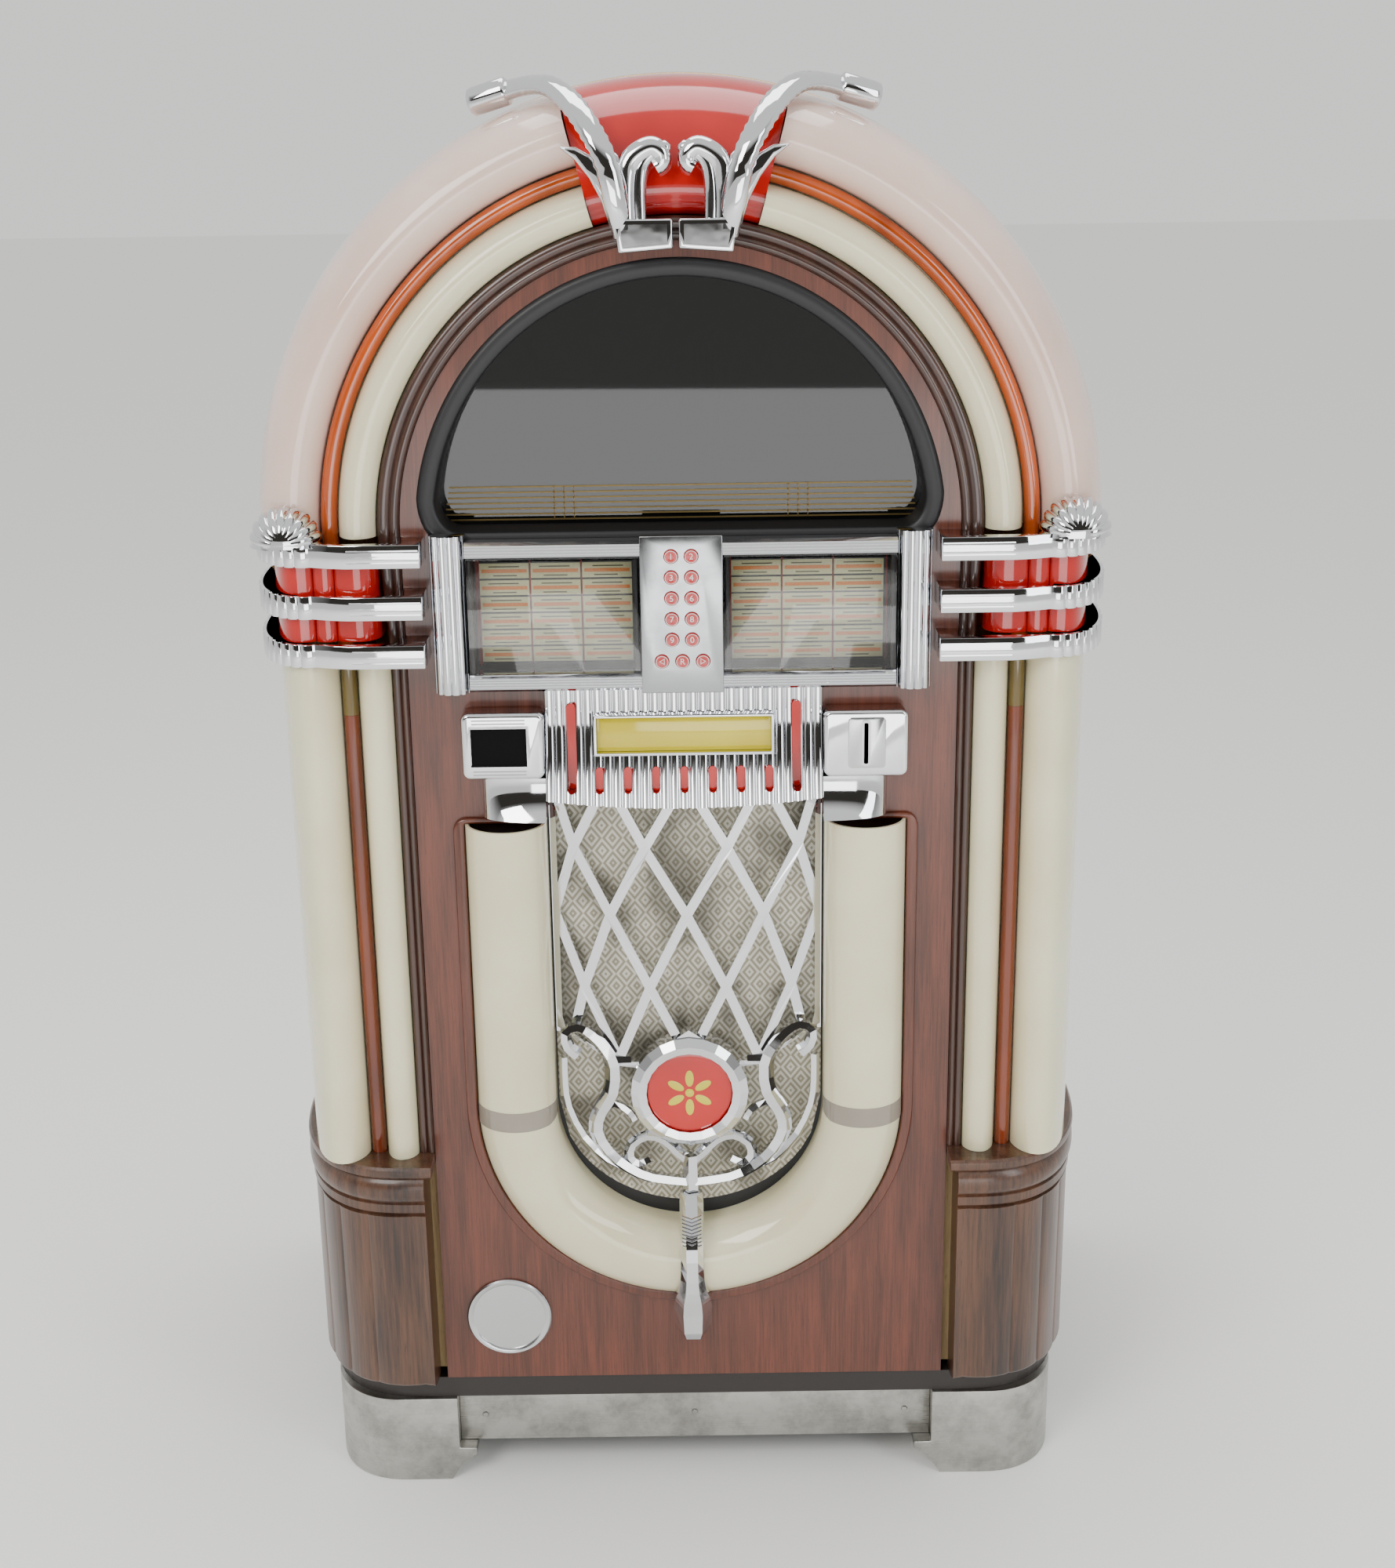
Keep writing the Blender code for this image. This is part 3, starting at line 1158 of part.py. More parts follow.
# Grille casting, medallion and strap
LATTICE_DROPS = (-0.009, 0.065, 0.139, 0.221, 0.304, 0.385)
LATTICE_ROW_SHARES = (1.0, 1.03, 1.0, 0.965, 0.93, 0.90)
LATTICE_R = 0.1596
LATTICE_STEP = 15.15
LATTICE_ROD = 0.0050
LATTICE_T = 0.010
LATTICE_FRONT_D = -0.014
LATTICE_BOW = 0.040
GRILLE_FRAME_W = 0.006
GRILLE_LOW_Z = 0.513
SHOULDER_X = 0.075
SHOULDER_Z = 0.521
SHOULDER_OUT_Z = 0.561
MEDALLION_Z = 0.494
MEDALLION_R = 0.046
MEDALLION_T = 0.007
MEDALLION_FRONT_D = -0.022
RING_R = 0.063
RING_LIP = 0.004
CREST_Z = 0.561
CREST_W = 0.024
ORNAMENT_X = 0.141
SCROLL_R = 0.0062
SCROLL_D = -0.004
# Scroll centre lines: across and up from the medallion, as shares of the ornament's half width
STEM_SHARES = ((0.84, 0.30), (0.91, 0.36), (0.93, 0.47), (0.84, 0.52), (0.74, 0.46), (0.64, 0.34), (0.58, 0.20),
               (0.60, -0.02), (0.69, -0.18), (0.72, -0.34), (0.63, -0.52), (0.48, -0.66), (0.30, -0.75), (0.03, -0.79))
RIM_SHARES = ((0.955, 0.26), (0.955, 0.04), (0.93, -0.16), (0.82, -0.41), (0.64, -0.61), (0.50, -0.68))
LEAF_SHARES = ((0.69, -0.20), (0.58, -0.13), (0.47, -0.20), (0.43, -0.27))
SPIRAL_SHARES = ((0.02, -0.61), (0.10, -0.54), (0.20, -0.44), (0.33, -0.40), (0.45, -0.47), (0.47, -0.58),
                 (0.40, -0.64), (0.31, -0.60))
NECK_SHARES = ((0.0, -0.86), (0.0, -0.56))
CHEEK_SHARES = ((0.56, 0.24), (0.44, 0.24))


def lattice_node(row, k):
    """A crossing of the bowed lattice, spaced as on a round drum."""
    x = LATTICE_R * math.sin(math.radians(LATTICE_STEP * k)) * LATTICE_ROW_SHARES[row]
    return (x, GRILLE_TOP_Z - LATTICE_DROPS[row])


def bow_depth(x, _z=0.0):
    return LATTICE_FRONT_D + LATTICE_BOW * (1 - math.sqrt(max(0.0, 1 - (x / LATTICE_R) ** 2)))


def clip(points, normal, limit):
    """The part of a convex outline where normal . point >= limit."""
    kept = []
    for i, here in enumerate(points):
        there = points[(i + 1) % len(points)]
        a = here[0] * normal[0] + here[1] * normal[1] - limit
        b = there[0] * normal[0] + there[1] * normal[1] - limit
        if a >= 0:
            kept.append(here)
        if a * b < 0:
            share = a / (a - b)
            kept.append((here[0] + (there[0] - here[0]) * share, here[1] + (there[1] - here[1]) * share))
    return kept


def lattice_cells():
    """Diamond openings, drawn in by the rods and trimmed by the side frames."""
    slope = (SHOULDER_OUT_Z - SHOULDER_Z) / (ORNAMENT_X - SHOULDER_X)
    cells = []
    for row in range(0, len(LATTICE_DROPS)):
        for k in range(-5, 6):
            if (row + k) % 2 == 0:
                continue
            top = lattice_node(max(row - 1, 0), k)
            low = lattice_node(min(row + 1, len(LATTICE_DROPS) - 1), k)
            if row == 0:
                top = (top[0], 2 * lattice_node(0, k)[1] - low[1])
            if row == len(LATTICE_DROPS) - 1:
                continue
            first = lattice_node(row, k - 1)
            last = lattice_node(row, k + 1)
            cell = [top, last, low, first]
            middle = ((first[0] + last[0]) / 2, first[1])
            for i in range(4):
                a = (top, last, low, first)[i]
                b = (last, low, first, top)[i]
                nx, nz = b[1] - a[1], a[0] - b[0]
                size = math.hypot(nx, nz)
                nx, nz = nx / size, nz / size
                if nx * (middle[0] - a[0]) + nz * (middle[1] - a[1]) < 0:
                    nx, nz = -nx, -nz
                cell = clip(cell, (nx, nz), nx * a[0] + nz * a[1] + LATTICE_ROD)
            inside = ORNAMENT_X - GRILLE_FRAME_W
            cell = clip(cell, (1, 0), -inside)
            cell = clip(cell, (-1, 0), -inside)
            cell = clip(cell, (0, -1), LATTICE_ROD - HEADER_LOW_Z)
            cell = clip(cell, (0, 1), SHOULDER_Z + LATTICE_ROD)
            for side in (LEFT, RIGHT):
                normal = Vector((-slope * side, 1)).normalized()
                edge = normal.x * side * SHOULDER_X + normal.y * (SHOULDER_Z + LATTICE_ROD)
                cell = clip(cell, tuple(normal), edge)
            if len(cell) > 2 and outline_area(cell) > LATTICE_ROD ** 2:
                cells.append(cell)
    return cells


def outline_area(points):
    total = 0.0
    for (a, b), (c, d) in zip(points, points[1:] + points[:1]):
        total += a * d - b * c
    return abs(total) / 2


def ornament(shares, radii, d, per_span=2, sides=5):
    """A scroll bar through places given as shares of the ornament's half width."""
    points = [(ORNAMENT_X * x, at_depth(d), MEDALLION_Z + ORNAMENT_X * z) for x, z in shares]
    path = smooth_path(points, per_span)
    sizes = []
    for i in range(len(path)):
        t = i / (len(path) - 1) * (len(radii) - 1)
        low = min(int(t), len(radii) - 2)
        sizes.append(SCROLL_R * (radii[low] + (radii[low + 1] - radii[low]) * (t - low)))
    return sweep(path, sizes, sizes, sides)


def turned_ring(centre, profile, axis="Y", sides=24):
    """A ring of closed section; profile holds (radius, level) points."""
    rings = []
    for k in range(sides):
        turn = 2 * math.pi * k / sides
        a, b = math.cos(turn), math.sin(turn)
        ring = []
        for r, level in profile:
            u, v = centre[0] + r * a, centre[1] + r * b
            ring.append({"X": (level, u, v), "Y": (u, level, v), "Z": (u, v, level)}[axis])
        rings.append(ring)
    return skin(rings, closed=True)


def build_grille():
    outer_z = SHOULDER_OUT_Z
    right = [(ORNAMENT_X, HEADER_LOW_Z - GAP), (ORNAMENT_X, outer_z), (SHOULDER_X, SHOULDER_Z), (0, GRILLE_LOW_Z)]
    outline = right + [(-x, z) for x, z in right[2::-1]]
    plate = pierced_plate(outline, lattice_cells(), bow_depth, lambda x, z: bow_depth(x) + LATTICE_T)
    seat = BAFFLE_D - GAP
    inner = ORNAMENT_X - GRILLE_FRAME_W / 2
    parts = []
    for side in (LEFT, RIGHT):
        edge = sorted((side * inner, side * (ORNAMENT_X + GAP * 3)))
        parts.append(box(*edge, at_depth(bow_depth(inner) + LATTICE_T / 3), at_depth(seat),
                         outer_z - SCROLL_R, HEADER_LOW_Z - GAP * 2))
    lip = MEDALLION_R - RING_LIP
    pocket = MEDALLION_R + GAP
    floor = at_depth(MEDALLION_FRONT_D + MEDALLION_T + GAP)
    front = at_depth(MEDALLION_FRONT_D - RING_LIP / 2)
    rear = at_depth(SCROLL_D + SCROLL_R)
    crown_r = (RING_R + pocket) / 2
    profile = [(pocket, front), (crown_r, front - RING_LIP / 2), (RING_R, front + RING_LIP), (RING_R, rear),
               (lip, rear), (lip, floor), (pocket, floor)]
    ring = turned_ring((0, MEDALLION_Z), profile, "Y", 24)
    base = MEDALLION_Z + crown_r * 0.95
    crest = prism([(-CREST_W, base), (CREST_W, base), (CREST_W / 2, MEDALLION_Z + RING_R), (0, CREST_Z + RING_LIP),
                   (-CREST_W / 2, MEDALLION_Z + RING_R)],
                  "Y", at_depth(MEDALLION_FRONT_D + RING_LIP), at_depth(SCROLL_D))
    bars = [ornament(NECK_SHARES, (1.5, 1.3), SCROLL_D - SCROLL_R)]
    for make in (
        lambda: ornament(STEM_SHARES, (1.2, 1.0, 1.15, 1.5, 1.4, 1.2, 1.1), SCROLL_D - SCROLL_R),
        lambda: ornament(RIM_SHARES, (0.8, 0.8, 0.9), SCROLL_D),
        lambda: ornament(LEAF_SHARES, (1.0, 0.8, 0.8), SCROLL_D - SCROLL_R / 2),
        lambda: ornament(SPIRAL_SHARES, (1.0, 0.9, 1.0, 0.9), SCROLL_D - SCROLL_R / 2),
        lambda: ornament(CHEEK_SHARES, (1.0, 0.9), SCROLL_D - SCROLL_R / 2),
    ):
        bars += [make(), mirrored(make())]
    add_part("grille_casting", join(plate, parts + [ring, crest] + bars), "chrome")
    face = at_depth(MEDALLION_FRONT_D)
    back = face + MEDALLION_T
    disc = turned((0, MEDALLION_Z), [(face, MEDALLION_R * 0.8), (face + MEDALLION_T / 4, MEDALLION_R),
                                     (back, MEDALLION_R)], "Y", 24)
    add_part("medallion", disc, "red")


# Strap over the bottom of the grille tube
TAIL_TOP_Z = 0.372
TAIL_LOW_Z = 0.192
TAIL_HALF_W = 0.0130
TAIL_T = 0.007
TAIL_CLEAR = 0.0025
# Height share from the bottom, half width share, face depth share of the deepest face
TAIL_SHARES = ((0.0, 0.75, 0.10), (0.03, 1.15, 0.55), (0.10, 1.5, 0.72), (0.24, 1.62, 0.82), (0.30, 1.55, 0.88),
               (0.33, 1.5, 0.91), (0.36, 1.4, 0.94), (0.42, 1.15, 0.98), (0.50, 1.0, 1.0), (0.57, 0.95, 1.0), (0.64, 0.95, 1.0),
               (0.72, 0.95, 0.95), (0.80, 0.95, 0.85), (0.88, 1.0, 0.70), (0.95, 1.0, 0.52), (1.0, 0.9, 0.42))
TAIL_LIP_REACH = 0.032
TAIL_REACH_D = -0.055


def build_tail():
    span = TAIL_TOP_Z - TAIL_LOW_Z
    rings = []
    for height, width, depth in TAIL_SHARES:
        z = TAIL_LOW_Z + span * height
        half = TAIL_HALF_W * width
        face = TAIL_REACH_D * depth
        near = abs(z - U_CENTRE_Z)
        inside = (U_OUT_R + U_IN_R) / 2
        swell = max(0.0, 1 - ((near - inside) / (inside - U_IN_R)) ** 2)
        rear = U_RIM_D - (U_RIM_D - U_FRONT_D) * math.sqrt(swell) - TAIL_CLEAR
        lip = -U_LIP_RISE - TAIL_CLEAR
        rear = min(rear, lip) if near < U_OUT_R + TAIL_LIP_REACH else -GAP
        rear = min(rear, -GAP)
        face = min(face, rear - TAIL_T)
        rings.append([(half, at_depth(rear), z), (half, at_depth((face + rear) / 2), z),
                      (half / 2, at_depth(face), z), (-half / 2, at_depth(face), z),
                      (-half, at_depth((face + rear) / 2), z), (-half, at_depth(rear), z)])
    add_part("grille_tail", skin(rings), "chrome")


# Pilaster bases under the columns
BASE_IN_X = 0.288
BASE_INSET = 0.002
BASE_OUT_X = CABINET_R - BASE_INSET
BASE_CENTRE_X = 0.300
BASE_CENTRE_D = 0.165
BASE_FRONT_D = -0.038
BASE_POWER = 2.6
BASE_FOOT_Z = 0.15
BASE_WALL = 0.014
BASE_ROUND = 0.030
BASE_FLUTES = 5
BASE_FLUTE_T = 0.003
BASE_STEPS = 15
BASE_BULGE = 0.004
# Height share from the foot to the lip, growth as a share of the bulge, flute share
BASE_SHARES = ((0.0, 0.0, 1.0), (0.78, 0.0, 1.0), (0.783, -0.9, 0.0), (0.80, 0.3, 0.0), (0.835, 0.3, 0.0),
               (0.84, -0.3, 0.0), (0.885, 1.0, 0.0), (0.935, 0.2, 0.0), (0.945, -0.4, 0.0), (0.96, 0.8, 0.0),
               (0.99, 0.8, 0.0), (1.0, 0.2, 0.0))
BASE_ROUND_SHARES = ((0.0, 1.0), (0.3, 0.42), (0.65, 0.1))


def base_ring(z, grow, flute, inner_x, rear_d=FLANGE_D - GAP):
    """Plan of a base at one height."""
    centre = (BASE_CENTRE_X, BASE_CENTRE_D)
    reach = (BASE_OUT_X - BASE_CENTRE_X + grow, BASE_CENTRE_D - BASE_FRONT_D + grow)
    corner = round_corner(centre, reach, 0, 88, BASE_STEPS, BASE_POWER)
    points = [(inner_x, PANEL_T - GAP), (inner_x, centre[1] - reach[1])]
    for i, (x, d) in enumerate(corner):
        wave = abs(math.sin(math.pi * BASE_FLUTES * i / BASE_STEPS))
        dent = BASE_FLUTE_T * flute * (1 - wave)
        points.append((x - dent * i / BASE_STEPS, min(d + dent * (1 - i / BASE_STEPS), rear_d - GAP)))
    points += [(points[-1][0], rear_d), (TRIM_R, rear_d), (TRIM_R, PANEL_T - GAP)]
    return [(x, at_depth(d), z) for x, d in points]


def build_bases():
    low = DOOR_BOTTOM_Z + BASE_BULGE / 2
    rings = []
    for height, round_share in BASE_ROUND_SHARES:
        z = low + (BASE_FOOT_Z - low) * height
        rings.append(base_ring(z, -BASE_ROUND * round_share, 1.0, BASE_IN_X))
    for height, grow, flute in BASE_SHARES:
        z = BASE_FOOT_Z + (BASE_TOP_Z - BASE_FOOT_Z) * height
        inner = SEAM_R + GAP if height > 0.95 else BASE_IN_X
        rings.append(base_ring(z, BASE_BULGE * grow, flute, inner))
    for name, side in SIDES.items():
        body = skin(rings)
        hollow_low = BASE_FOOT_Z + BASE_WALL / 2
        hollow_high = BASE_TOP_Z - BASE_WALL * 2
        far = FLANGE_D + OVERRUN
        cavity = []
        for z in (hollow_low, hollow_high):
            ring = [(x, y, z) for x, y, _ in base_ring(z, -BASE_WALL, 0.0, TRIM_R + BASE_WALL, far)]
            cavity.append(ring[1:-2] + [(TRIM_R + BASE_WALL, at_depth(far), z)])
        whole = carve(body, [skin(cavity)])
        add_part("pilaster_base_" + name, mirrored(whole) if side == LEFT else whole, "walnut")


# Cabinet
SHELL_T = 0.020
BACK_T = 0.012
SKIRT_X = 0.425
SKIRT_FRONT_D = 0.003
SKIRT_IN_X = 0.300
FOOT_FRONT_D = -0.002
FOOT_IN_X = 0.2695
FOOT_OUT_X = 0.415
FOOT_TAB_X = 0.250
FOOT_TAB_H = 0.0415
FOOT_CHAMFER_H = 0.0205
FOOT_CHAMFER_X = 0.268
FOOT_TOE_X = 0.280
FOOT_REAR_D = 0.130
FOOT_CORNER_X = 0.330
FOOT_CORNER_D = 0.090
KICK_D = 0.014
KICK_T = 0.003
REAR_FOOT_X = 0.310
REAR_FOOT_Y = 0.205
REAR_FOOT_L = 0.105


def build_cabinet():
    low = SKIRT_TOP_Z + GAP
    inner = CABINET_R - SHELL_T
    outline = portal(CABINET_R, low) + portal(inner, low)[::-1]
    shell = prism(outline, "Y", at_depth(SHELL_D), BACK_Y)
    barrel = cylinder((lock_y(), LOCK_Z), LOCK_R + LOCK_FIT, inner - OVERRUN, CABINET_R + OVERRUN, "X", 16)
    cuts = [mortise(SHELL_D - OVERRUN, HINGE_D + KNUCKLE_R + MORTISE_FIT), barrel]
    add_part("cabinet_shell", carve(shell, cuts), "mahogany")
    back = prism(portal(inner - GAP, low), "Y", BACK_Y - BACK_T, BACK_Y)
    add_part("back_panel", back, "ebony")
    corner = round_corner((SKIRT_IN_X, BASE_CENTRE_D), (SKIRT_X - SKIRT_IN_X, BASE_CENTRE_D - SKIRT_FRONT_D),
                          0, 90, 10, BASE_POWER)
    right = [(x, at_depth(d)) for x, d in corner] + [(SKIRT_X, BACK_Y)]
    plan = right + [(-x, y) for x, y in right[::-1]]
    floor = prism(plan, "Z", SKIRT_BOTTOM_Z, SKIRT_TOP_Z)
    feet = []
    for side in (LEFT, RIGHT):
        edge = sorted((side * REAR_FOOT_X, side * FOOT_OUT_X))
        feet.append(box(*edge, REAR_FOOT_Y, REAR_FOOT_Y + REAR_FOOT_L, 0, SKIRT_BOTTOM_Z + WELD))
    add_part("cabinet_base", join(floor, feet), "ebony")
    build_front_feet()


def build_front_feet():
    """Steel clad front feet with the kick plate between them."""
    top = SKIRT_BOTTOM_Z - GAP
    corner = round_corner((FOOT_CORNER_X, FOOT_CORNER_D), (FOOT_OUT_X - FOOT_CORNER_X, FOOT_CORNER_D - FOOT_FRONT_D),
                          0, 90, 8, 2.2)
    plan = [(FOOT_TAB_X, at_depth(FOOT_REAR_D)), (FOOT_TAB_X, at_depth(FOOT_FRONT_D))]
    plan += [(x, at_depth(d)) for x, d in corner] + [(FOOT_OUT_X, at_depth(FOOT_REAR_D))]
    front = [(FOOT_IN_X, top), (FOOT_IN_X, FOOT_TAB_H), (FOOT_TAB_X - WELD, FOOT_TAB_H),
             (FOOT_TAB_X - WELD, FOOT_CHAMFER_H * 1.6), (FOOT_CHAMFER_X, FOOT_CHAMFER_H), (FOOT_TOE_X, 0),
             (FOOT_OUT_X + OVERRUN, 0), (FOOT_OUT_X + OVERRUN, top)]
    blocks = []
    for side in (RIGHT, LEFT):
        block = carve(prism(plan, "Z", -OVERRUN, top + OVERRUN),
                      [prism(front, "Y", at_depth(FOOT_FRONT_D - OVERRUN), at_depth(FOOT_REAR_D + OVERRUN))],
                      "INTERSECT")
        blocks.append(mirrored(block) if side == LEFT else block)
    kick = box(-FOOT_IN_X - WELD, FOOT_IN_X + WELD, at_depth(KICK_D), at_depth(KICK_D + KICK_T),
               FOOT_TAB_H - WELD, top - WELD)
    add_part("front_feet", join(kick, blocks), "steel")


# Lock in the right wall
LOCK_R = 0.009
LOCK_FIT = 0.0004
LOCK_SETBACK = 0.029
LOCK_D = SHELL_D + LOCK_SETBACK
LOCK_Z = 0.653
LOCK_HEAD_R = 0.012
LOCK_HEAD_T = 0.002
LOCK_CAM_INSET = 0.0325
LOCK_CAM_X = CABINET_R - LOCK_CAM_INSET
LOCK_CAM_T = 0.0030
LOCK_CAM_L = 0.028
LOCK_CAM_W = 0.009
KEEPER_CLEAR = 0.0010
KEEPER_LIFT = 0.011
KEEPER_H = 0.018
KEEPER_T = 0.005
KEEPER_FOOT_W = 0.016
KEEPER_FOOT_T = 0.002
STUD_SETBACK = 0.0115
STUD_R = 0.003
STUD_L = 0.0042


def lock_y():
    return at_depth(LOCK_D)


def build_lock():
    """Key barrel through the right wall; its cam lies level when unlocked and stands up when locked."""
    y = lock_y()
    head = CABINET_R + GAP
    stations = [(LOCK_CAM_X, LOCK_R * 0.7), (head, LOCK_R * 0.7)]
    core = turned((y, LOCK_Z), stations, "X", 12)
    barrel = turned((y, LOCK_Z), [(CABINET_R - SHELL_T, LOCK_R), (head, LOCK_R), (head, LOCK_HEAD_R),
                                  (head + LOCK_HEAD_T, LOCK_HEAD_R * 0.9)], "X", 16)
    half = LOCK_CAM_W / 2
    cam = box(LOCK_CAM_X - WELD, LOCK_CAM_X + LOCK_CAM_T, y - LOCK_CAM_L, y + half, LOCK_Z - half, LOCK_Z + half)
    add_part("door_lock", join(barrel, [core, cam]), "chrome", (head, y, LOCK_Z))


def build_keeper():
    """Bracket on the back of the door frame whose stud stands behind the raised cam."""
    right = LOCK_CAM_X - KEEPER_CLEAR
    low = LOCK_Z + KEEPER_LIFT
    high = low + KEEPER_H
    front = at_depth(DOOR_REAR_D + GAP)
    stud_y = lock_y() + STUD_SETBACK
    arm = box(right - KEEPER_T, right, front, stud_y + STUD_R, low, high)
    foot = box(right - KEEPER_FOOT_W, right - KEEPER_T / 2, front, front + KEEPER_FOOT_T, low, high)
    stud = cylinder((stud_y, (low + high) / 2), STUD_R, right - KEEPER_T / 2, right + STUD_L, "X", 8)
    add_part("lock_keeper", join(arm, [foot, stud]), "steel")


# Disc player behind the window
DECK_Z = 1.065
DECK_T = 0.012
DECK_INSET = 0.006
DECK_FRONT_D = SHELL_D + DECK_INSET
MAGAZINE_X = -0.160
MAGAZINE_D = 0.262
MAGAZINE_R = 0.082
MAGAZINE_LOW_Z = 1.171
MAGAZINE_H = 0.040
SPINDLE_R = 0.004
SPINDLE_TOP_Z = 1.258
SPINDLE_FIT = 0.0004
BOSS_R = 0.013
HUB_T = 0.004
ARM_X = 0.030
ARM_LOW_Z = 1.249
ARM_T = 0.010
ARM_W = 0.016
ARM_L = 0.104
FINGER_H = 0.028
PLAYER_X = 0.100
PLAYER_W = 0.190
PLAYER_H = 0.060
PLAYER_DEPTH = 0.200


def build_player():
    inner = CABINET_R - SHELL_T - GAP
    y = at_depth(MAGAZINE_D)
    front = at_depth(DECK_FRONT_D)
    top = DECK_Z + DECK_T
    deck = box(-inner, inner, front, BACK_Y - BACK_T - GAP, DECK_Z, top)
    spindle = turned((MAGAZINE_X, y), [(top - WELD, BOSS_R), (MAGAZINE_LOW_Z - GAP, BOSS_R),
                                       (MAGAZINE_LOW_Z - GAP, SPINDLE_R), (SPINDLE_TOP_Z, SPINDLE_R)], "Z", 12)
    post = turned((ARM_X, y), [(top - WELD, BOSS_R), (ARM_LOW_Z - GAP, BOSS_R), (ARM_LOW_Z - GAP, SPINDLE_R),
                               (ARM_LOW_Z + ARM_T + SPINDLE_R, SPINDLE_R)], "Z", 12)
    player = box(PLAYER_X, PLAYER_X + PLAYER_W, front + ARM_W, front + ARM_W + PLAYER_DEPTH, top - WELD,
                 top + PLAYER_H)
    add_part("cd_deck", join(deck, [spindle, post, player]), "black")
    bore = SPINDLE_R + SPINDLE_FIT
    high = MAGAZINE_LOW_Z + MAGAZINE_H
    web = MAGAZINE_LOW_Z + HUB_T
    profile = [(bore, MAGAZINE_LOW_Z), (MAGAZINE_R, MAGAZINE_LOW_Z), (MAGAZINE_R, high),
               (MAGAZINE_R * 0.8, high), (MAGAZINE_R * 0.8, web), (BOSS_R, web), (BOSS_R, high), (bore, high)]
    add_part("cd_magazine", turned_ring((MAGAZINE_X, y), profile, "Z", 24), "black", (MAGAZINE_X, y, MAGAZINE_LOW_Z))
    arm_top = ARM_LOW_Z + ARM_T
    far = y + ARM_L
    arm = box(ARM_X - ARM_W / 2, ARM_X + ARM_W / 2, y, far, ARM_LOW_Z, arm_top)
    hub = cylinder((ARM_X, y), BOSS_R, ARM_LOW_Z, arm_top, "Z", 12)
    finger = box(ARM_X - ARM_W / 4, ARM_X + ARM_W / 4, far - ARM_W / 2, far - WELD, ARM_LOW_Z - FINGER_H,
                 ARM_LOW_Z + WELD)
    hole = cylinder((ARM_X, y), bore, ARM_LOW_Z - OVERRUN, arm_top + OVERRUN, "Z", 12)
    add_part("cd_gripper_arm", carve(join(arm, [hub, finger]), [hole]), "zinc", (ARM_X, y, ARM_LOW_Z))


def main():
    build_cabinet()
    build_hinge()
    build_lock()
    build_keeper()
    build_player()
    build_door_frame()
    build_front_panel()
    build_arch_moulding()
    build_window()
    build_arch_plastics()
    build_columns()
    build_bubble_tubes()
    build_bases()
    build_bands()
    build_crown()
    build_selector()
    build_title_drum()
    build_header()
    build_housings()
    build_grille_tube()
    build_speaker()
    build_grille()
    build_tail()


main()
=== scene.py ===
"""Looks of the bubbler jukebox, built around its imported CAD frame.

Metres, +Z up, the decorated front faces -Y. Depths called d run backwards from the
face of the wooden panel, and radii called r run outwards from the arch's axis.
"""
from math import cos, degrees, pi, radians, sin, sqrt

import bmesh
import bpy
from mathutils import Matrix, Vector


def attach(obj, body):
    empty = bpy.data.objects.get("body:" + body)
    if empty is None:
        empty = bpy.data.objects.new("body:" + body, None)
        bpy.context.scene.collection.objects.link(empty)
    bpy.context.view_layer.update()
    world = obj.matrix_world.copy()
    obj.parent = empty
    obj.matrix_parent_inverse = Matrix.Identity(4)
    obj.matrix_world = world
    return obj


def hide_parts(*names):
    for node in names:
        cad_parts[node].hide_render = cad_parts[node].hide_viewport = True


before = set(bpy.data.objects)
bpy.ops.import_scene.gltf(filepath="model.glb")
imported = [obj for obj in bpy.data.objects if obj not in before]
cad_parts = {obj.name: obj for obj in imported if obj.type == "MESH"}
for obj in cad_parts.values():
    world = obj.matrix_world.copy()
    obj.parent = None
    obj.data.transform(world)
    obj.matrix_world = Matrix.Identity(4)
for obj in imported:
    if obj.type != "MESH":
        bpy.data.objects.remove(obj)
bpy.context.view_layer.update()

# Places and sizes shared with the frame
FACE_Y = -0.265
ARCH_Z = 1.099
SEAM_R = 0.279
BASE_TOP = 0.418
GAP = 0.0003
ARCH_STEPS = 96
CABINET_R = 0.4345
SHELL_D = 0.166
BACK_D = 0.585
PANEL_LOW = 0.1335
PANEL_T = 0.012
MARK_T = 0.0001
DOOR = "front_door"
CABINET = "cabinet"

# Photograph's camera
CAMERA_AT = (0.0131, -2.3201, 1.48175)
CAMERA_PITCH = 17.5
CAMERA_ROLL = -0.01426
LENS = 47.957


# Nodes and colours

def linear(code):
    """sRGB hex to a linear colour."""
    values = [int(code[i:i + 2], 16) / 255 for i in (1, 3, 5)]
    return tuple(v / 12.92 if v <= 0.04045 else ((v + 0.055) / 1.055) ** 2.4
                 for v in values) + (1.0,)


def node(tree, kind, inputs=None, **settings):
    """One node with its settings, and each input either a value or a link."""
    made = tree.nodes.new(kind)
    for key, value in settings.items():
        setattr(made, key, value)
    for name, value in (inputs or {}).items():
        if isinstance(value, bpy.types.NodeSocket):
            tree.links.new(value, made.inputs[name])
        else:
            made.inputs[name].default_value = value
    return made


def surface(name, **sockets):
    """A new Principled material; sockets are given by name with _ for spaces."""
    made = bpy.data.materials.new(name)
    made.use_nodes = True
    shader = made.node_tree.nodes["Principled BSDF"]
    for key, value in sockets.items():
        shader.inputs[key.replace("_", " ")].default_value = value
    return made, made.node_tree, shader


def calc(tree, operation, first, second):
    """One step of arithmetic between two values."""
    return node(tree, "ShaderNodeMath", {0: first, 1: second}, operation=operation).outputs[0]


def span(tree, value, start, end, low=0.0, high=1.0):
    """A value's run from start to end, spread from low to high."""
    return node(tree, "ShaderNodeMapRange", {"Value": value, "From Min": start, "From Max": end,
                                             "To Min": low, "To Max": high}).outputs["Result"]


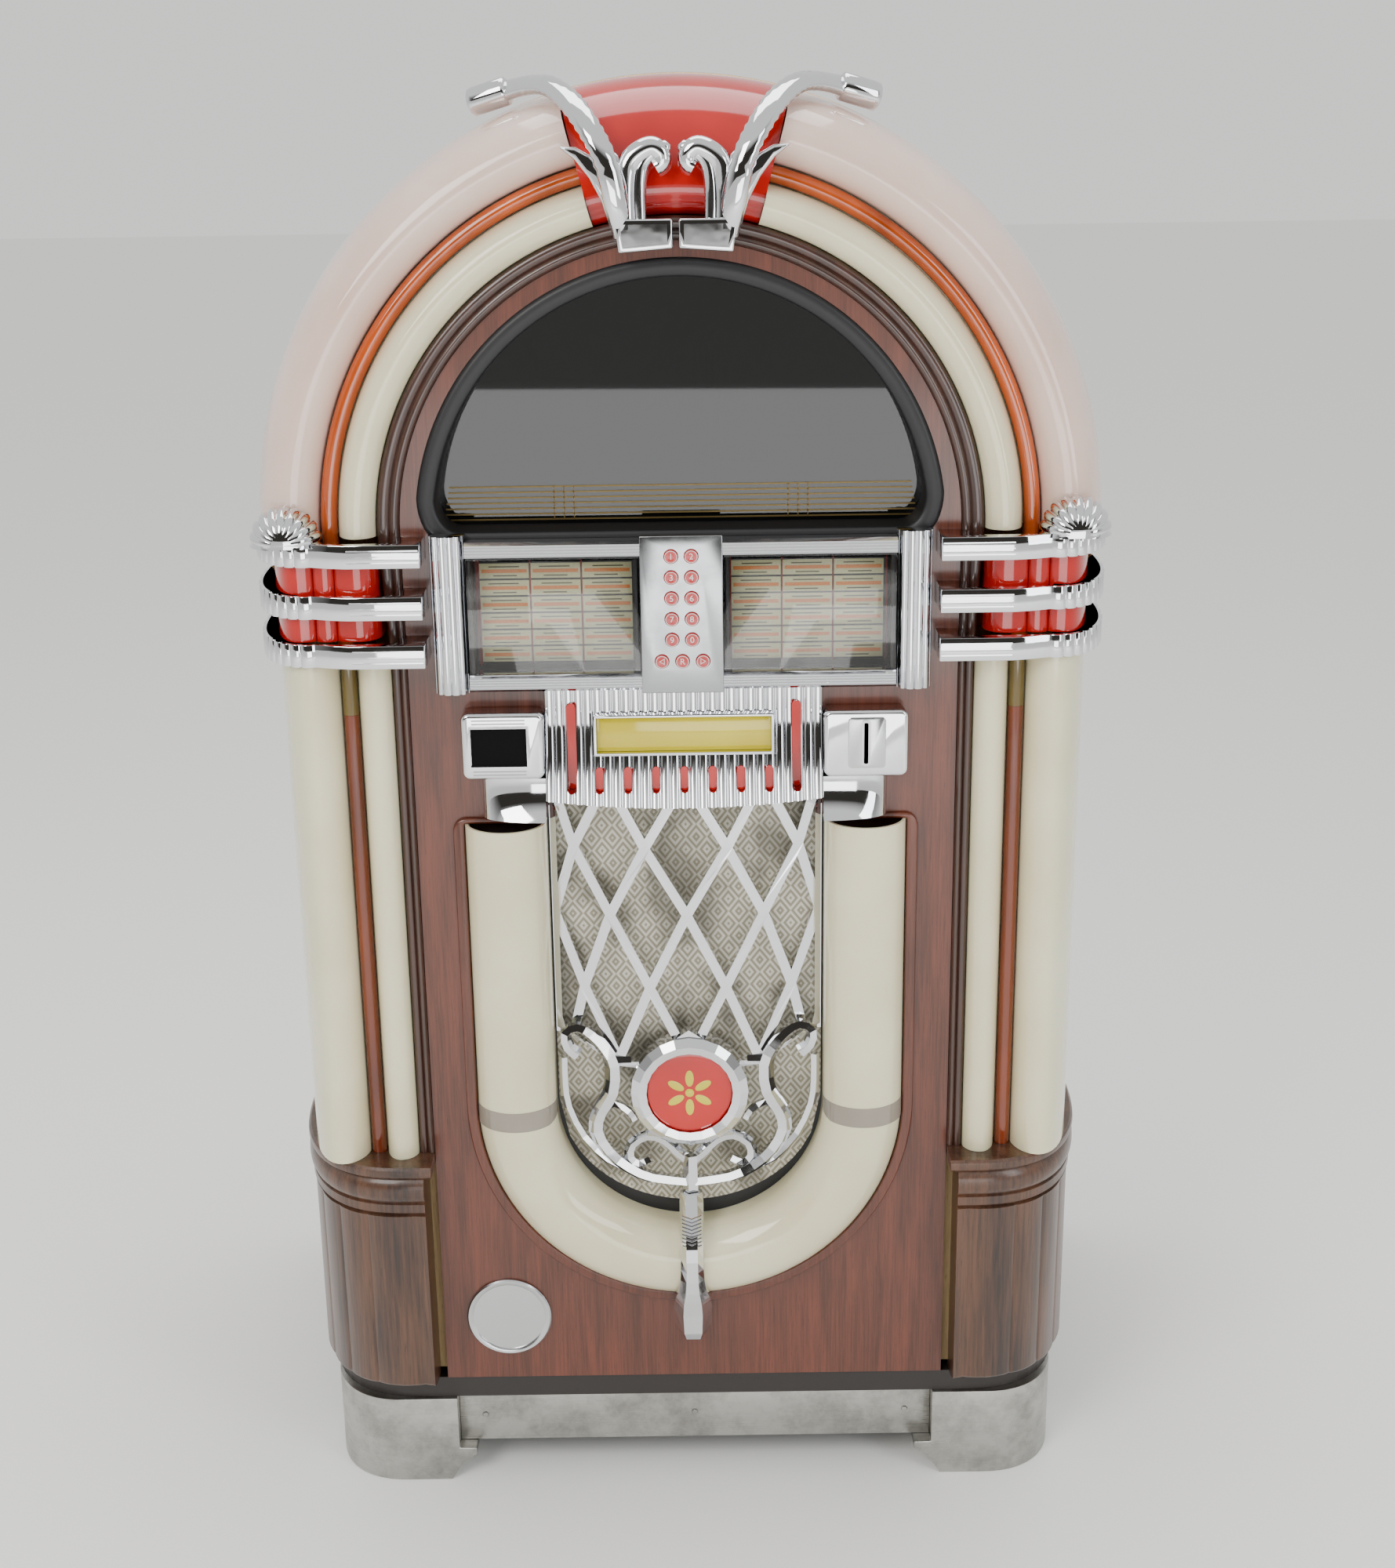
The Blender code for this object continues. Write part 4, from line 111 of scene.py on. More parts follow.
def blend(tree, factor, first, second, how="MIX"):
    """Two colours mixed by a factor."""
    return node(tree, "ShaderNodeMix", {"Factor": factor, "A": first, "B": second},
                data_type="RGBA", blend_type=how).outputs["Result"]


def feed(shader, socket, value):
    """Link a value into one socket of a shader."""
    shader.id_data.links.new(value, shader.inputs[socket])


def two_tones(tree, factor, low, high, start, end):
    """A factor turned into a run between two hex colours."""
    ramp = node(tree, "ShaderNodeValToRGB", {"Fac": factor})
    for stop, place, code in zip(ramp.color_ramp.elements, (start, end), (low, high)):
        stop.position = place
        stop.color = linear(code)
    return ramp.outputs["Color"]


def noise(tree, scale, detail=2.0, rough=0.55, stretch=(1, 1, 1)):
    """Cloudy noise on object coordinates in metres, stretched along the axes."""
    where = node(tree, "ShaderNodeTexCoord").outputs["Object"]
    place = node(tree, "ShaderNodeMapping", {"Vector": where, "Scale": stretch}).outputs["Vector"]
    return node(tree, "ShaderNodeTexNoise", {"Vector": place, "Scale": scale, "Detail": detail,
                                             "Roughness": rough}).outputs["Fac"]


def bumpy(tree, shader, height, strength, distance):
    """Relief from a height value, its distance in metres."""
    bump = node(tree, "ShaderNodeBump",
                {"Height": height, "Strength": strength, "Distance": distance})
    feed(shader, "Normal", bump.outputs["Normal"])


# Finishes

def lacquered_wood(name, dark, light, pore, grain_mm, streak_mm, coat, rough):
    """Sliced veneer under lacquer: long streaks, short dark pores and a soft gloss over both."""
    made, tree, shader = surface(name, Roughness=rough, Coat_Weight=coat, Coat_Roughness=0.12)
    along = 1000 / streak_mm
    across = 1000 / grain_mm
    streaks = noise(tree, 1.0, 5.0, 0.6, (across, across, along))
    bands = noise(tree, 1.0, stretch=(across / 9, across / 9, along / 3))
    pores = noise(tree, 1.0, stretch=(across * 3.2, across * 3.2, along * 3.5))
    halved = calc(tree, "MULTIPLY", calc(tree, "ADD", streaks, bands), 0.5)
    tone = two_tones(tree, halved, dark, light, 0.38, 0.62)
    pits = span(tree, pores, 0.60, 0.70, 0.0, 0.55)
    feed(shader, "Base Color", blend(tree, pits, tone, linear(pore)))
    bumpy(tree, shader, streaks, 0.10, 0.0004)
    return made


def cast_acrylic(name, code, dark, scatter, rough=0.10):
    """Translucent moulded acrylic: deep gloss over a milky body."""
    made, tree, shader = surface(name, Roughness=rough, Subsurface_Weight=scatter,
                                 Subsurface_Scale=0.008, Coat_Weight=0.35, Coat_Roughness=0.03)
    feed(shader, "Base Color", two_tones(tree, noise(tree, 9.0), dark, code, 0.25, 0.7))
    return made


def chrome_plate(name, code="#DCDDE0", low=0.035, high=0.10, wave=0.12):
    """Bright chrome on a cast base, with handling haze and a slight casting wave."""
    made, tree, shader = surface(name, Metallic=1.0, Base_Color=linear(code))
    feed(shader, "Roughness", span(tree, noise(tree, 38.0, 4.0), 0.4, 0.75, low, high))
    bumpy(tree, shader, noise(tree, 26.0), wave, 0.0008)
    return made


def brushed_steel(name, code, across_mm, rough):
    """Stainless sheet with a rolled brush line, scuffs and cloudy hand marks."""
    made, tree, shader = surface(name, Metallic=1.0)
    lines = noise(tree, 1.0, 3.0, stretch=(3.0, 3.0, 1000 / across_mm))
    scuffs = noise(tree, 22.0, 5.0, 0.7)
    feed(shader, "Base Color", two_tones(tree, scuffs, "#8E8D88", code, 0.3, 0.6))
    feed(shader, "Roughness", span(tree, lines, 0.3, 0.7, rough - 0.08, rough + 0.10))
    bumpy(tree, shader, lines, 0.12, 0.0002)
    return made


def satin_paint(name, code, rough=0.45, grit=260.0, metal=0.0):
    """Sprayed satin coat whose fine orange peel softens the highlight."""
    made, tree, shader = surface(name, Roughness=rough, Metallic=metal)
    peel = noise(tree, grit)
    shade = span(tree, peel, 0.0, 1.0, 0.0, 0.22)
    feed(shader, "Base Color", blend(tree, shade, linear(code), (0, 0, 0, 1)))
    bumpy(tree, shader, peel, 0.12, 0.0003)
    return made


def liquid_tube(name, code, dark):
    """Glass tube of dyed liquid: saturated core, sharp gloss on the wall."""
    made, tree, shader = surface(name, Roughness=0.06, Coat_Weight=0.6, Coat_Roughness=0.02,
                                 Subsurface_Weight=0.25, Subsurface_Scale=0.004)
    drift = noise(tree, 14.0, 3.0, stretch=(1, 1, 0.3))
    feed(shader, "Base Color", two_tones(tree, drift, dark, code, 0.3, 0.62))
    return made


def clear_pane(name, tint):
    """Float glass: see-through, with its surface reflection only."""
    made, tree, shader = surface(name)
    tree.nodes.remove(shader)
    edge = node(tree, "ShaderNodeFresnel", {"IOR": 1.5})
    through = node(tree, "ShaderNodeBsdfTransparent", {"Color": linear(tint)})
    shine = node(tree, "ShaderNodeBsdfGlossy", {"Color": (1, 1, 1, 1), "Roughness": 0.02})
    both = node(tree, "ShaderNodeMixShader", {0: edge.outputs["Fac"], 1: through.outputs[0],
                                              2: shine.outputs[0]})
    feed(tree.nodes["Material Output"], "Surface", both.outputs[0])
    return made


def bass_cloth(name):
    """Speaker cloth of gold and silver thread: nested diamonds 22 mm wide over a fine weave, with
    blotches of painted shade.
    """
    made, tree, shader = surface(name, Roughness=0.55, Metallic=0.35, Sheen_Weight=0.3)
    where = node(tree, "ShaderNodeTexCoord").outputs["Object"]
    split = node(tree, "ShaderNodeSeparateXYZ", {"Vector": where})

    def fold(axis, size):
        return calc(tree, "DIVIDE", calc(tree, "PINGPONG", split.outputs[axis], size), size)
    rings = calc(tree, "PINGPONG", calc(tree, "ADD", fold("X", 0.011), fold("Z", 0.014)), 0.29)
    weave = node(tree, "ShaderNodeTexWave", {"Vector": where, "Scale": 260.0, "Distortion": 1.5,
                                             "Detail": 1.0}, wave_type="BANDS",
                 bands_direction="DIAGONAL")
    tone = blend(tree, span(tree, rings, 0.10, 0.19), linear("#A39C86"), linear("#E3DFD0"))
    threads = blend(tree, 0.35, tone, weave.outputs["Color"], "MULTIPLY")
    # Blotches of painted shade: random patches of the cloth darkened towards dark brown.
    painted_shade_blotches = span(tree, noise(tree, 15.0, stretch=(1, 1, 0.8)), 0.50, 0.64, 0.0, 0.6)
    feed(shader, "Base Color", blend(tree, painted_shade_blotches, threads, linear("#3B3628")))
    bumpy(tree, shader, rings, 0.4, 0.0008)
    return made


def printed_card(name, code, dark):
    """Printed paper: matte, with a faint fibre."""
    made, tree, shader = surface(name, Roughness=0.7)
    feed(shader, "Base Color", two_tones(tree, noise(tree, 500.0, 3.0), dark, code, 0.2, 0.7))
    return made


MAHOGANY = lacquered_wood("lacquered_mahogany_veneer", "#48200F", "#6A3320", "#2A1009", 1.8, 60.0,
                          0.45, 0.32)
WALNUT = lacquered_wood("lacquered_walnut_veneer", "#2C1B13", "#5D3D2A", "#180D08", 3.5, 90.0, 0.30,
                        0.36)
MOULDING = lacquered_wood("dark_stained_moulding", "#33201A", "#46291F", "#1C0F0B", 1.2, 40.0, 0.5,
                          0.28)
PLY = lacquered_wood("bare_birch_plywood", "#8F7550", "#B09468", "#6D5738", 2.5, 50.0, 0.0, 0.7)
CREAM = cast_acrylic("cream_acrylic_moulding", "#E9E0BF", "#DDD3AF", 0.25)
PINK = cast_acrylic("pink_acrylic_moulding", "#E9CDC0", "#DDBDAE", 0.25)
RED = cast_acrylic("red_acrylic_moulding", "#C81D17", "#A91210", 0.12)
KEY_RED = cast_acrylic("red_button_plastic", "#C8262A", "#A9161C", 0.1, 0.2)
GREY_BAND = cast_acrylic("grey_joint_acrylic", "#9C9184", "#8A8074", 0.2)
YELLOW = cast_acrylic("yellow_sign_acrylic", "#D9C92E", "#C4B020", 0.1)
ORANGE = liquid_tube("amber_bubble_liquid", "#C4561A", "#8E3609")
DEEP_LIQUID = liquid_tube("red_bubble_liquid", "#7E3414", "#571E0A")
OLIVE = liquid_tube("clear_tube_head", "#75622B", "#4E3F1B")
AMBER = liquid_tube("amber_side_tube", "#C99445", "#A8742A")
CHROME = chrome_plate("polished_chrome_casting")
RUBBED = chrome_plate("rubbed_keypad_plate", "#A4A6A8", 0.16, 0.30, 0.04)
SATIN = chrome_plate("satin_coin_plate", "#C7C8CA", 0.18, 0.28, 0.03)
STEEL = brushed_steel("brushed_stainless_sheet", "#B6B5B0", 1.4, 0.30)
BLACK = satin_paint("black_satin_paint", "#17171A")
SKIRT = satin_paint("near_black_stained_board", "#2B2523", 0.4)
GREY = satin_paint("grey_zinc_coat", "#8C8C8A", 0.42, 260.0, 0.7)
GOLD = satin_paint("gold_screen_ink", "#6E5C34", 0.35, 400.0, 0.6)
CLOTH = bass_cloth("gold_silver_jacquard_cloth")
PANE = clear_pane("float_glass_pane", "#FFFFFF")
DARK_PANE = clear_pane("smoked_window_pane", "#6A6C70")
STRIP = printed_card("pale_green_title_card", "#C9C89F", "#B5B48A")
STRIP_BAR = printed_card("orange_title_bar", "#D98A4E", "#C0703A")
SPINE = printed_card("dark_red_title_spine", "#8C2F26", "#702019")
INK = printed_card("typed_line_ink", "#5A5848", "#4A4838")
WHITE = satin_paint("white_filled_mark", "#F2EEE6", 0.4, 500.0)
CARD = satin_paint("matte_black_card", "#0A0A0B", 0.8)
CARD.node_tree.nodes["Principled BSDF"].inputs["Specular IOR Level"].default_value = 0.12


# Modelling

def deep(d):
    """World y of a depth behind the panel's face."""
    return FACE_Y + d


def fresh():
    """Leave edit mode and drop the selection before a new piece starts."""
    if bpy.context.object and bpy.context.object.mode != "OBJECT":
        bpy.ops.object.mode_set(mode="OBJECT")
    bpy.ops.object.select_all(action="DESELECT")


def only(piece):
    fresh()
    piece.select_set(True)
    bpy.context.view_layer.objects.active = piece


def wire(points, closed=True):
    """A ring primitive drawn to an outline; an open one loses its closing edge."""
    fresh()
    bpy.ops.mesh.primitive_circle_add(vertices=len(points), radius=0.1)
    piece = bpy.context.object
    for vertex, place in zip(piece.data.vertices, points):
        vertex.co = place
    piece.matrix_world = Matrix.Identity(4)
    if not closed:
        bpy.ops.object.mode_set(mode="EDIT")
        shape = bmesh.from_edit_mesh(piece.data)
        shape.verts.ensure_lookup_table()
        ends = {shape.verts[0], shape.verts[len(points) - 1]}
        loose = [edge for edge in shape.edges if set(edge.verts) == ends]
        bmesh.ops.delete(shape, geom=loose, context="EDGES")
        bmesh.update_edit_mesh(piece.data)
        bpy.ops.object.mode_set(mode="OBJECT")
    return piece


def edit_all(piece):
    only(piece)
    bpy.ops.object.mode_set(mode="EDIT")
    bpy.ops.mesh.select_all(action="SELECT")


def pull(vector):
    bpy.ops.mesh.extrude_region_move(TRANSFORM_OT_translate={"value": vector})


def close_up(piece, cap=True):
    """Weld, cap the open ends and turn the faces outwards."""
    bpy.ops.mesh.select_all(action="SELECT")
    bpy.ops.mesh.remove_doubles(threshold=0.00001)
    if cap:
        bpy.ops.mesh.fill_holes(sides=0)
        bpy.ops.mesh.select_all(action="SELECT")
    bpy.ops.mesh.normals_make_consistent(inside=False)
    bpy.ops.object.mode_set(mode="OBJECT")
    return piece


def modify(piece, kind, **settings):
    """Add a modifier and apply it."""
    only(piece)
    step = piece.modifiers.new(kind.lower(), kind)
    for key, value in settings.items():
        setattr(step, key, value)
    bpy.ops.object.modifier_apply(modifier=step.name)
    return piece


def soften(piece, width, segments=2, angle=35):
    """Round the edges sharper than an angle."""
    return modify(piece, "BEVEL", width=width, segments=segments, limit_method="ANGLE",
                  angle_limit=radians(angle), harden_normals=False)


def keep(piece, name, finish, replaces=(), angle=35, body=DOOR):
    """Name a finished piece, shade it, and tie it to its body."""
    only(piece)
    piece.name = "look_" + name
    bpy.ops.object.transform_apply(location=True, rotation=True, scale=True)
    piece.data.materials.clear()
    piece.data.materials.append(finish)
    bpy.ops.object.shade_smooth_by_angle(angle=radians(angle))
    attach(piece, body)
    if replaces:
        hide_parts(*replaces)


def copy_of(piece):
    """A copy with its own mesh, made before the piece is kept."""
    twin = piece.copy()
    twin.data = piece.data.copy()
    bpy.context.scene.collection.objects.link(twin)
    return twin


def mirrored(piece):
    """Turn a piece over the middle plane."""
    piece.data.transform(Matrix.Scale(-1, 4, (1, 0, 0)))
    piece.data.flip_normals()
    return piece


def both_sides(piece, name, finish, replaces="", angle=35):
    """Keep a piece made for the right, and its mirrored twin on the left."""
    twin = mirrored(copy_of(piece))
    for one, side in ((piece, "_right"), (twin, "_left")):
        keep(one, name + side, finish, [replaces + side] if replaces else (), angle)


def merge(pieces):
    """Join several pieces into the first."""
    only(pieces[0])
    for other in pieces[1:]:
        other.select_set(True)
    bpy.ops.object.join()
    return bpy.context.object


def block(x0, x1, d0, d1, z0, z1, soft=0.0, segments=2):
    """A cube primitive stretched between two corners, with soft edges."""
    fresh()
    y0, y1 = deep(d0), deep(d1)
    bpy.ops.mesh.primitive_cube_add(size=1, location=((x0 + x1) / 2, (y0 + y1) / 2, (z0 + z1) / 2))
    piece = bpy.context.object
    piece.scale = (abs(x1 - x0), abs(y1 - y0), abs(z1 - z0))
    bpy.ops.object.transform_apply(location=True, rotation=True, scale=True)
    return soften(piece, soft, segments) if soft else piece


def arc(cx, cy, radius, start, end, steps):
    """Points of an arc, both ends included, angles in degrees."""
    turns = [radians(start + (end - start) * i / steps) for i in range(steps + 1)]
    return [(cx + radius * cos(t), cy + radius * sin(t)) for t in turns]


def lobe(r0, r1, rim0, rim1, peak_r, peak_d, steps=12):
    """Front curve of a moulded lobe, from its inner rim over the peak to its outer rim."""
    points = []
    for i in range(steps + 1):
        turn = pi / 2 * i / steps
        points.append((peak_r - (peak_r - r0) * cos(turn), rim0 - (rim0 - peak_d) * sin(turn)))
    for i in range(1, steps + 1):
        turn = pi / 2 * i / steps
        points.append((peak_r + (r1 - peak_r) * sin(turn), rim1 - (rim1 - peak_d) * cos(turn)))
    return points


def over_arch(section, low, first=0.0, last=180.0, right_leg=True, left_leg=True):
    """Draw a section of (r, d) points up the right leg, spin it over the arch and down the left."""
    if right_leg:
        piece = wire(leg(section, low))
        edit_all(piece)
        pull((0, 0, ARCH_Z - low))
    else:
        piece = wire(round_ring(section, first))
        edit_all(piece)
    steps = max(4, round(ARCH_STEPS * (last - first) / 180))
    bpy.ops.mesh.spin(steps=steps, angle=radians(last - first), center=(0, 0, ARCH_Z),
                      axis=(0, 1, 0))
    if left_leg:
        pull((0, 0, low - ARCH_Z))
    return close_up(piece)


def drawn(ring, step):
    """A closed ring of points pulled along a vector into a solid."""
    piece = wire(ring)
    edit_all(piece)
    pull(step)
    return close_up(piece)


def slab(outline, front, back):
    """An outline seen from the front, pulled from one depth back to another."""
    return drawn([(x, deep(front), z) for x, z in outline], (0, deep(back) - deep(front), 0))


def upright(plan, low, high):
    """A plan of (x, d) points pulled up from one height to another."""
    return drawn([(x, deep(d), low) for x, d in plan], (0, 0, high - low))


def turned(profile, centre, steps, face=0.0):
    """Spin (radius, depth) points, depths counted from a face, round an axis seen end on."""
    x, z = centre
    piece = wire([(x + r, deep(face + d), z) for r, d in profile], closed=False)
    edit_all(piece)
    bpy.ops.mesh.spin(steps=steps, angle=2 * pi, center=(x, 0, z), axis=(0, 1, 0))
    return close_up(piece)


def rod(path, radius):
    """A thin round bar through a few (x, d, z) places, made a mesh."""
    fresh()
    curve = bpy.data.curves.new("rod", "CURVE")
    curve.dimensions = "3D"
    curve.bevel_depth = radius
    curve.bevel_resolution = 2
    curve.use_fill_caps = True
    spline = curve.splines.new("POLY")
    spline.points.add(len(path) - 1)
    for point, (x, d, z) in zip(spline.points, path):
        point.co = (x, deep(d), z, 1)
    piece = bpy.data.objects.new("rod", curve)
    bpy.context.scene.collection.objects.link(piece)
    only(piece)
    bpy.ops.object.convert(target="MESH")
    return bpy.context.object


def marks(text, size, place):
    """Raised figure or sign facing the front, centred on an (x, d, z) place."""
    x, d, z = place
    fresh()
    bpy.ops.object.text_add(location=(0, 0, 0))
    letter = bpy.context.object.data
    letter.body = text
    letter.size = size
    letter.align_x = letter.align_y = "CENTER"
    letter.extrude = MARK_T
    bpy.ops.object.convert(target="MESH")
    piece = bpy.context.object
    piece.data.transform(Matrix.Translation((x, deep(d), z)) @ Matrix.Rotation(pi / 2, 4, "X"))
    return piece


def through(stations, cap=True):
    """Draw the first ring, then extrude it and move its points to each next station."""
    piece = wire(stations[0])
    edit_all(piece)
    order = {i: i for i in range(len(stations[0]))}
    for ring in stations[1:]:
        pull((0, 0, 0))
        shape = bmesh.from_edit_mesh(piece.data)
        shape.verts.index_update()
        moved = {}
        for vertex in shape.verts:
            if not vertex.select:
                continue
            behind = [edge.other_vert(vertex) for edge in vertex.link_edges
                      if not edge.other_vert(vertex).select]
            number = order[behind[0].index]
            vertex.co = ring[number]
            moved[vertex.index] = number
        bmesh.update_edit_mesh(piece.data)
        order = moved
    return close_up(piece, cap)


def carve(piece, tools, operation="DIFFERENCE"):
    """Boolean the tools into a piece and clear them away."""
    for tool in tools:
        modify(piece, "BOOLEAN", operation=operation, solver="EXACT", object=tool)
        bpy.data.objects.remove(tool, do_unlink=True)
    return piece


def leg(section, z, side=1):
    """A section of (r, d) points lying level on a straight leg."""
    return [(side * r, deep(d), z) for r, d in section]


def round_ring(section, angle, centre_z=ARCH_Z):
    """The same section stood up at an angle of the arch."""
    turn = radians(angle)
    return [(r * cos(turn), deep(d), centre_z + r * sin(turn)) for r, d in section]


def smooth_path(points, per_span):
    """Even points on a Catmull-Rom curve through a short list of places."""
    knots = [Vector(point) for point in points]
    result = []
    for i in range(len(knots) - 1):
        p0, p1, p2 = knots[max(i - 1, 0)], knots[i], knots[i + 1]
        p3 = knots[min(i + 2, len(knots) - 1)]
        for k in range(per_span):
            t = k / per_span
            result.append(0.5 * (2 * p1 + (p2 - p0) * t + (2 * p0 - 5 * p1 + 4 * p2 - p3) * t * t
                                 + (3 * p1 - p0 - 3 * p2 + p3) * t ** 3))
    result.append(knots[-1])
    return result


def swept(path, widths, heights, sides=16, up=(0.0, -1.0, 0.0)):
    """An oval bar along a path; widths lie across the up direction, heights along it."""
    points = [Vector(point) for point in path]
    rings = []
    for i, point in enumerate(points):
        ahead = (points[min(i + 1, len(points) - 1)] - points[max(i - 1, 0)]).normalized()
        across = ahead.cross(Vector(up)).normalized()
        rise = across.cross(ahead).normalized()
        turns = [2 * pi * (k + 0.5) / sides for k in range(sides)]
        rings.append([tuple(point + across * (widths[i] * cos(t)) + rise * (heights[i] * sin(t)))
                      for t in turns])
    return through(rings)


# Camera, floor and light

def set_studio():
    """Camera of the photograph, pale floor, four softboxes and a grey room to reflect."""
    camera_data = bpy.data.cameras.new("front_camera")
    camera_data.lens = LENS
    camera = bpy.data.objects.new("front_camera", camera_data)
    bpy.context.scene.collection.objects.link(camera)
    tilt = Matrix.Rotation(radians(90 - CAMERA_PITCH), 4, "X")
    camera.matrix_world = Matrix.Translation(CAMERA_AT) @ tilt @ Matrix.Rotation(CAMERA_ROLL, 4,
                                                                                 "Z")
    bpy.context.scene.camera = camera
    fresh()
    bpy.ops.mesh.primitive_plane_add(size=60, location=(0, 0, -0.0002))
    floor = bpy.context.object
    floor.name = "studio_floor"
    paper, _, shader = surface("pale_paper_floor", Roughness=0.9)
    shader.inputs["Base Color"].default_value = linear("#FAFAF8")
    floor.data.materials.append(paper)
    for name, place, aim, size, power, colour in (("key_softbox", (-1.9, -3.1, 3.0),
                                                   (0.0, 0.0, 0.9), (1.6, 1.8), 84,
                                                   (1.0, 0.98, 0.95)),
                                                  ("fill_softbox", (2.5, -2.7, 1.9),
                                                   (0.0, 0.0, 0.8), (1.0, 2.4), 42,
                                                   (0.96, 0.98, 1.0)),
                                                  ("low_softbox", (0.3, -3.4, 0.5), (0.0, 0.0, 0.6),
                                                   (2.2, 0.7), 20, (1.0, 1.0, 1.0)),
                                                  ("top_softbox", (0.0, 0.5, 3.6), (0.0, 0.0, 1.0),
                                                   (2.2, 1.6), 46, (1.0, 1.0, 1.0))):
        lamp = bpy.data.lights.new(name, "AREA")
        lamp.shape = "RECTANGLE"
        lamp.size, lamp.size_y = size
        lamp.energy = power
        lamp.color = colour
        made = bpy.data.objects.new(name, lamp)
        made.location = place
        made.rotation_euler = (Vector(aim) - Vector(place)).to_track_quat("-Z", "Y").to_euler()
        bpy.context.scene.collection.objects.link(made)
    world = bpy.data.worlds.new("studio_room")
    world.use_nodes = True
    bpy.context.scene.world = world
    tree = world.node_tree
    where = node(tree, "ShaderNodeTexCoord")
    split = node(tree, "ShaderNodeSeparateXYZ", {"Vector": where.outputs["Generated"]})
    behind = span(tree, split.outputs["Y"], -0.75, -0.15)
    high = span(tree, split.outputs["Z"], 0.28, 0.55)
    room = blend(tree, calc(tree, "MAXIMUM", behind, high), linear("#3A3733"), linear("#F2F2F0"))
    back = tree.nodes["Background"]
    feed(back, "Color", room)
    back.inputs["Strength"].default_value = 1.1


# Arch, columns and tubes

TRIM_W = 0.016
MOULD_W = 0.023
TRIM_R = SEAM_R + TRIM_W
MOULD_R = SEAM_R + MOULD_W
RIDGE_W = 0.036
TUBE_R = 0.0082
SIDE_D = 0.100
COLUMN_SIDE_D = 0.095
GROOVE_W = 2 * (TUBE_R + GAP)
REAR = 0.150 - GAP
COLUMN_TOP = 0.972
ARCH_LOW = 1.097
COLUMN_OUT = 0.4185
ARCH_OUT = 0.4315
GROOVE_IN = MOULD_R + 0.0395
ARCH_TUBE_R = GROOVE_IN + GROOVE_W / 2 + 0.0005
GROOVE_OUT = ARCH_TUBE_R + GROOVE_W / 2 + 0.0005
COLUMN_TUBE_R = TRIM_R + RIDGE_W + GROOVE_W / 2
COLUMN_FLOOR = 0.014
ARCH_FLOOR = 0.0205
COLUMN_TUBE_D = COLUMN_FLOOR - GAP - TUBE_R
ARCH_TUBE_D = ARCH_FLOOR - GAP - TUBE_R
HEAD_Z = 0.9125
CENTRE_FROM = 75


def shell(curve, wall=0.003):
    """Outer curve out and inner curve back, as one closed section."""
    return curve(0) + curve(wall)[::-1]


def column_curve(inset):
    """Column plastic: a slim ridge, the tube groove and the wide outer ridge."""
    start = TRIM_R + GAP + inset
    end = TRIM_R + RIDGE_W - inset
    outer = end + GROOVE_W + 2 * inset
    points = [(start, REAR)] + lobe(start, end, inset, COLUMN_FLOOR + inset, (start + end) / 2,
                                    inset - 0.020)
    points += lobe(outer, COLUMN_OUT - inset, COLUMN_FLOOR + inset, COLUMN_SIDE_D, outer + 0.027,
                   inset - 0.028)
    return points + [(COLUMN_OUT - inset, REAR)]


def inner_curve(inset):
    """Inner arch plastic up to the tube groove."""
    start = MOULD_R + GAP + inset
    end = GROOVE_IN - inset
    floor = ARCH_FLOOR + inset
    return ([(start, REAR)] + lobe(start, end, inset, floor, (start + end) / 2, inset - 0.020)
            + [(GROOVE_OUT - GAP, floor)])


def outer_curve(inset):
    """Outer arch plastic from the groove to the side."""
    start = GROOVE_OUT + inset
    side = ARCH_OUT - inset
    return ([(start, REAR), (start, ARCH_FLOOR)]
            + lobe(start, side, ARCH_FLOOR, SIDE_D, GROOVE_OUT + 0.027, inset - 0.012)[1:]
            + [(side, REAR)])


def centre_curve(inset):
    """Red centre with the two fine steps near its rim."""
    start = MOULD_R + GAP + inset
    side = ARCH_OUT - inset
    peak = (MOULD_R + GROOVE_OUT) / 2
    face = lobe(start, side, 0.006 + inset, SIDE_D, peak, inset - 0.012, 20)
    stepped = []
    for r, d in face:
        lift = 0.0013 * ((r > start + 0.010) + (r > start + 0.016)) if inset == 0 else 0.0026
        stepped.append((r, d + 0.0026 - lift))
    return [(start, REAR)] + stepped + [(side, REAR)]


def moulding_curve(width):
    """Two rounded ridges with a valley between them."""
    inner = SEAM_R + GAP
    reach = width - 2 * GAP
    points = [(inner, PANEL_T - GAP), (inner, -0.0022)]
    for first, last, top in ((0.0, 0.44, 1.0), (0.44, 1.0, 0.92)):
        for i in range(1, 9):
            share = i / 8
            rise = sin(pi * share) ** 0.7
            low = 0.0022 + 0.0002 * (share == 1)
            points.append((inner + reach * (first + (last - first) * share),
                           -(low + (0.006 * top - low) * rise)))
    points[-1] = (inner + reach, -0.001)
    return points + [(inner + reach, PANEL_T - GAP)]


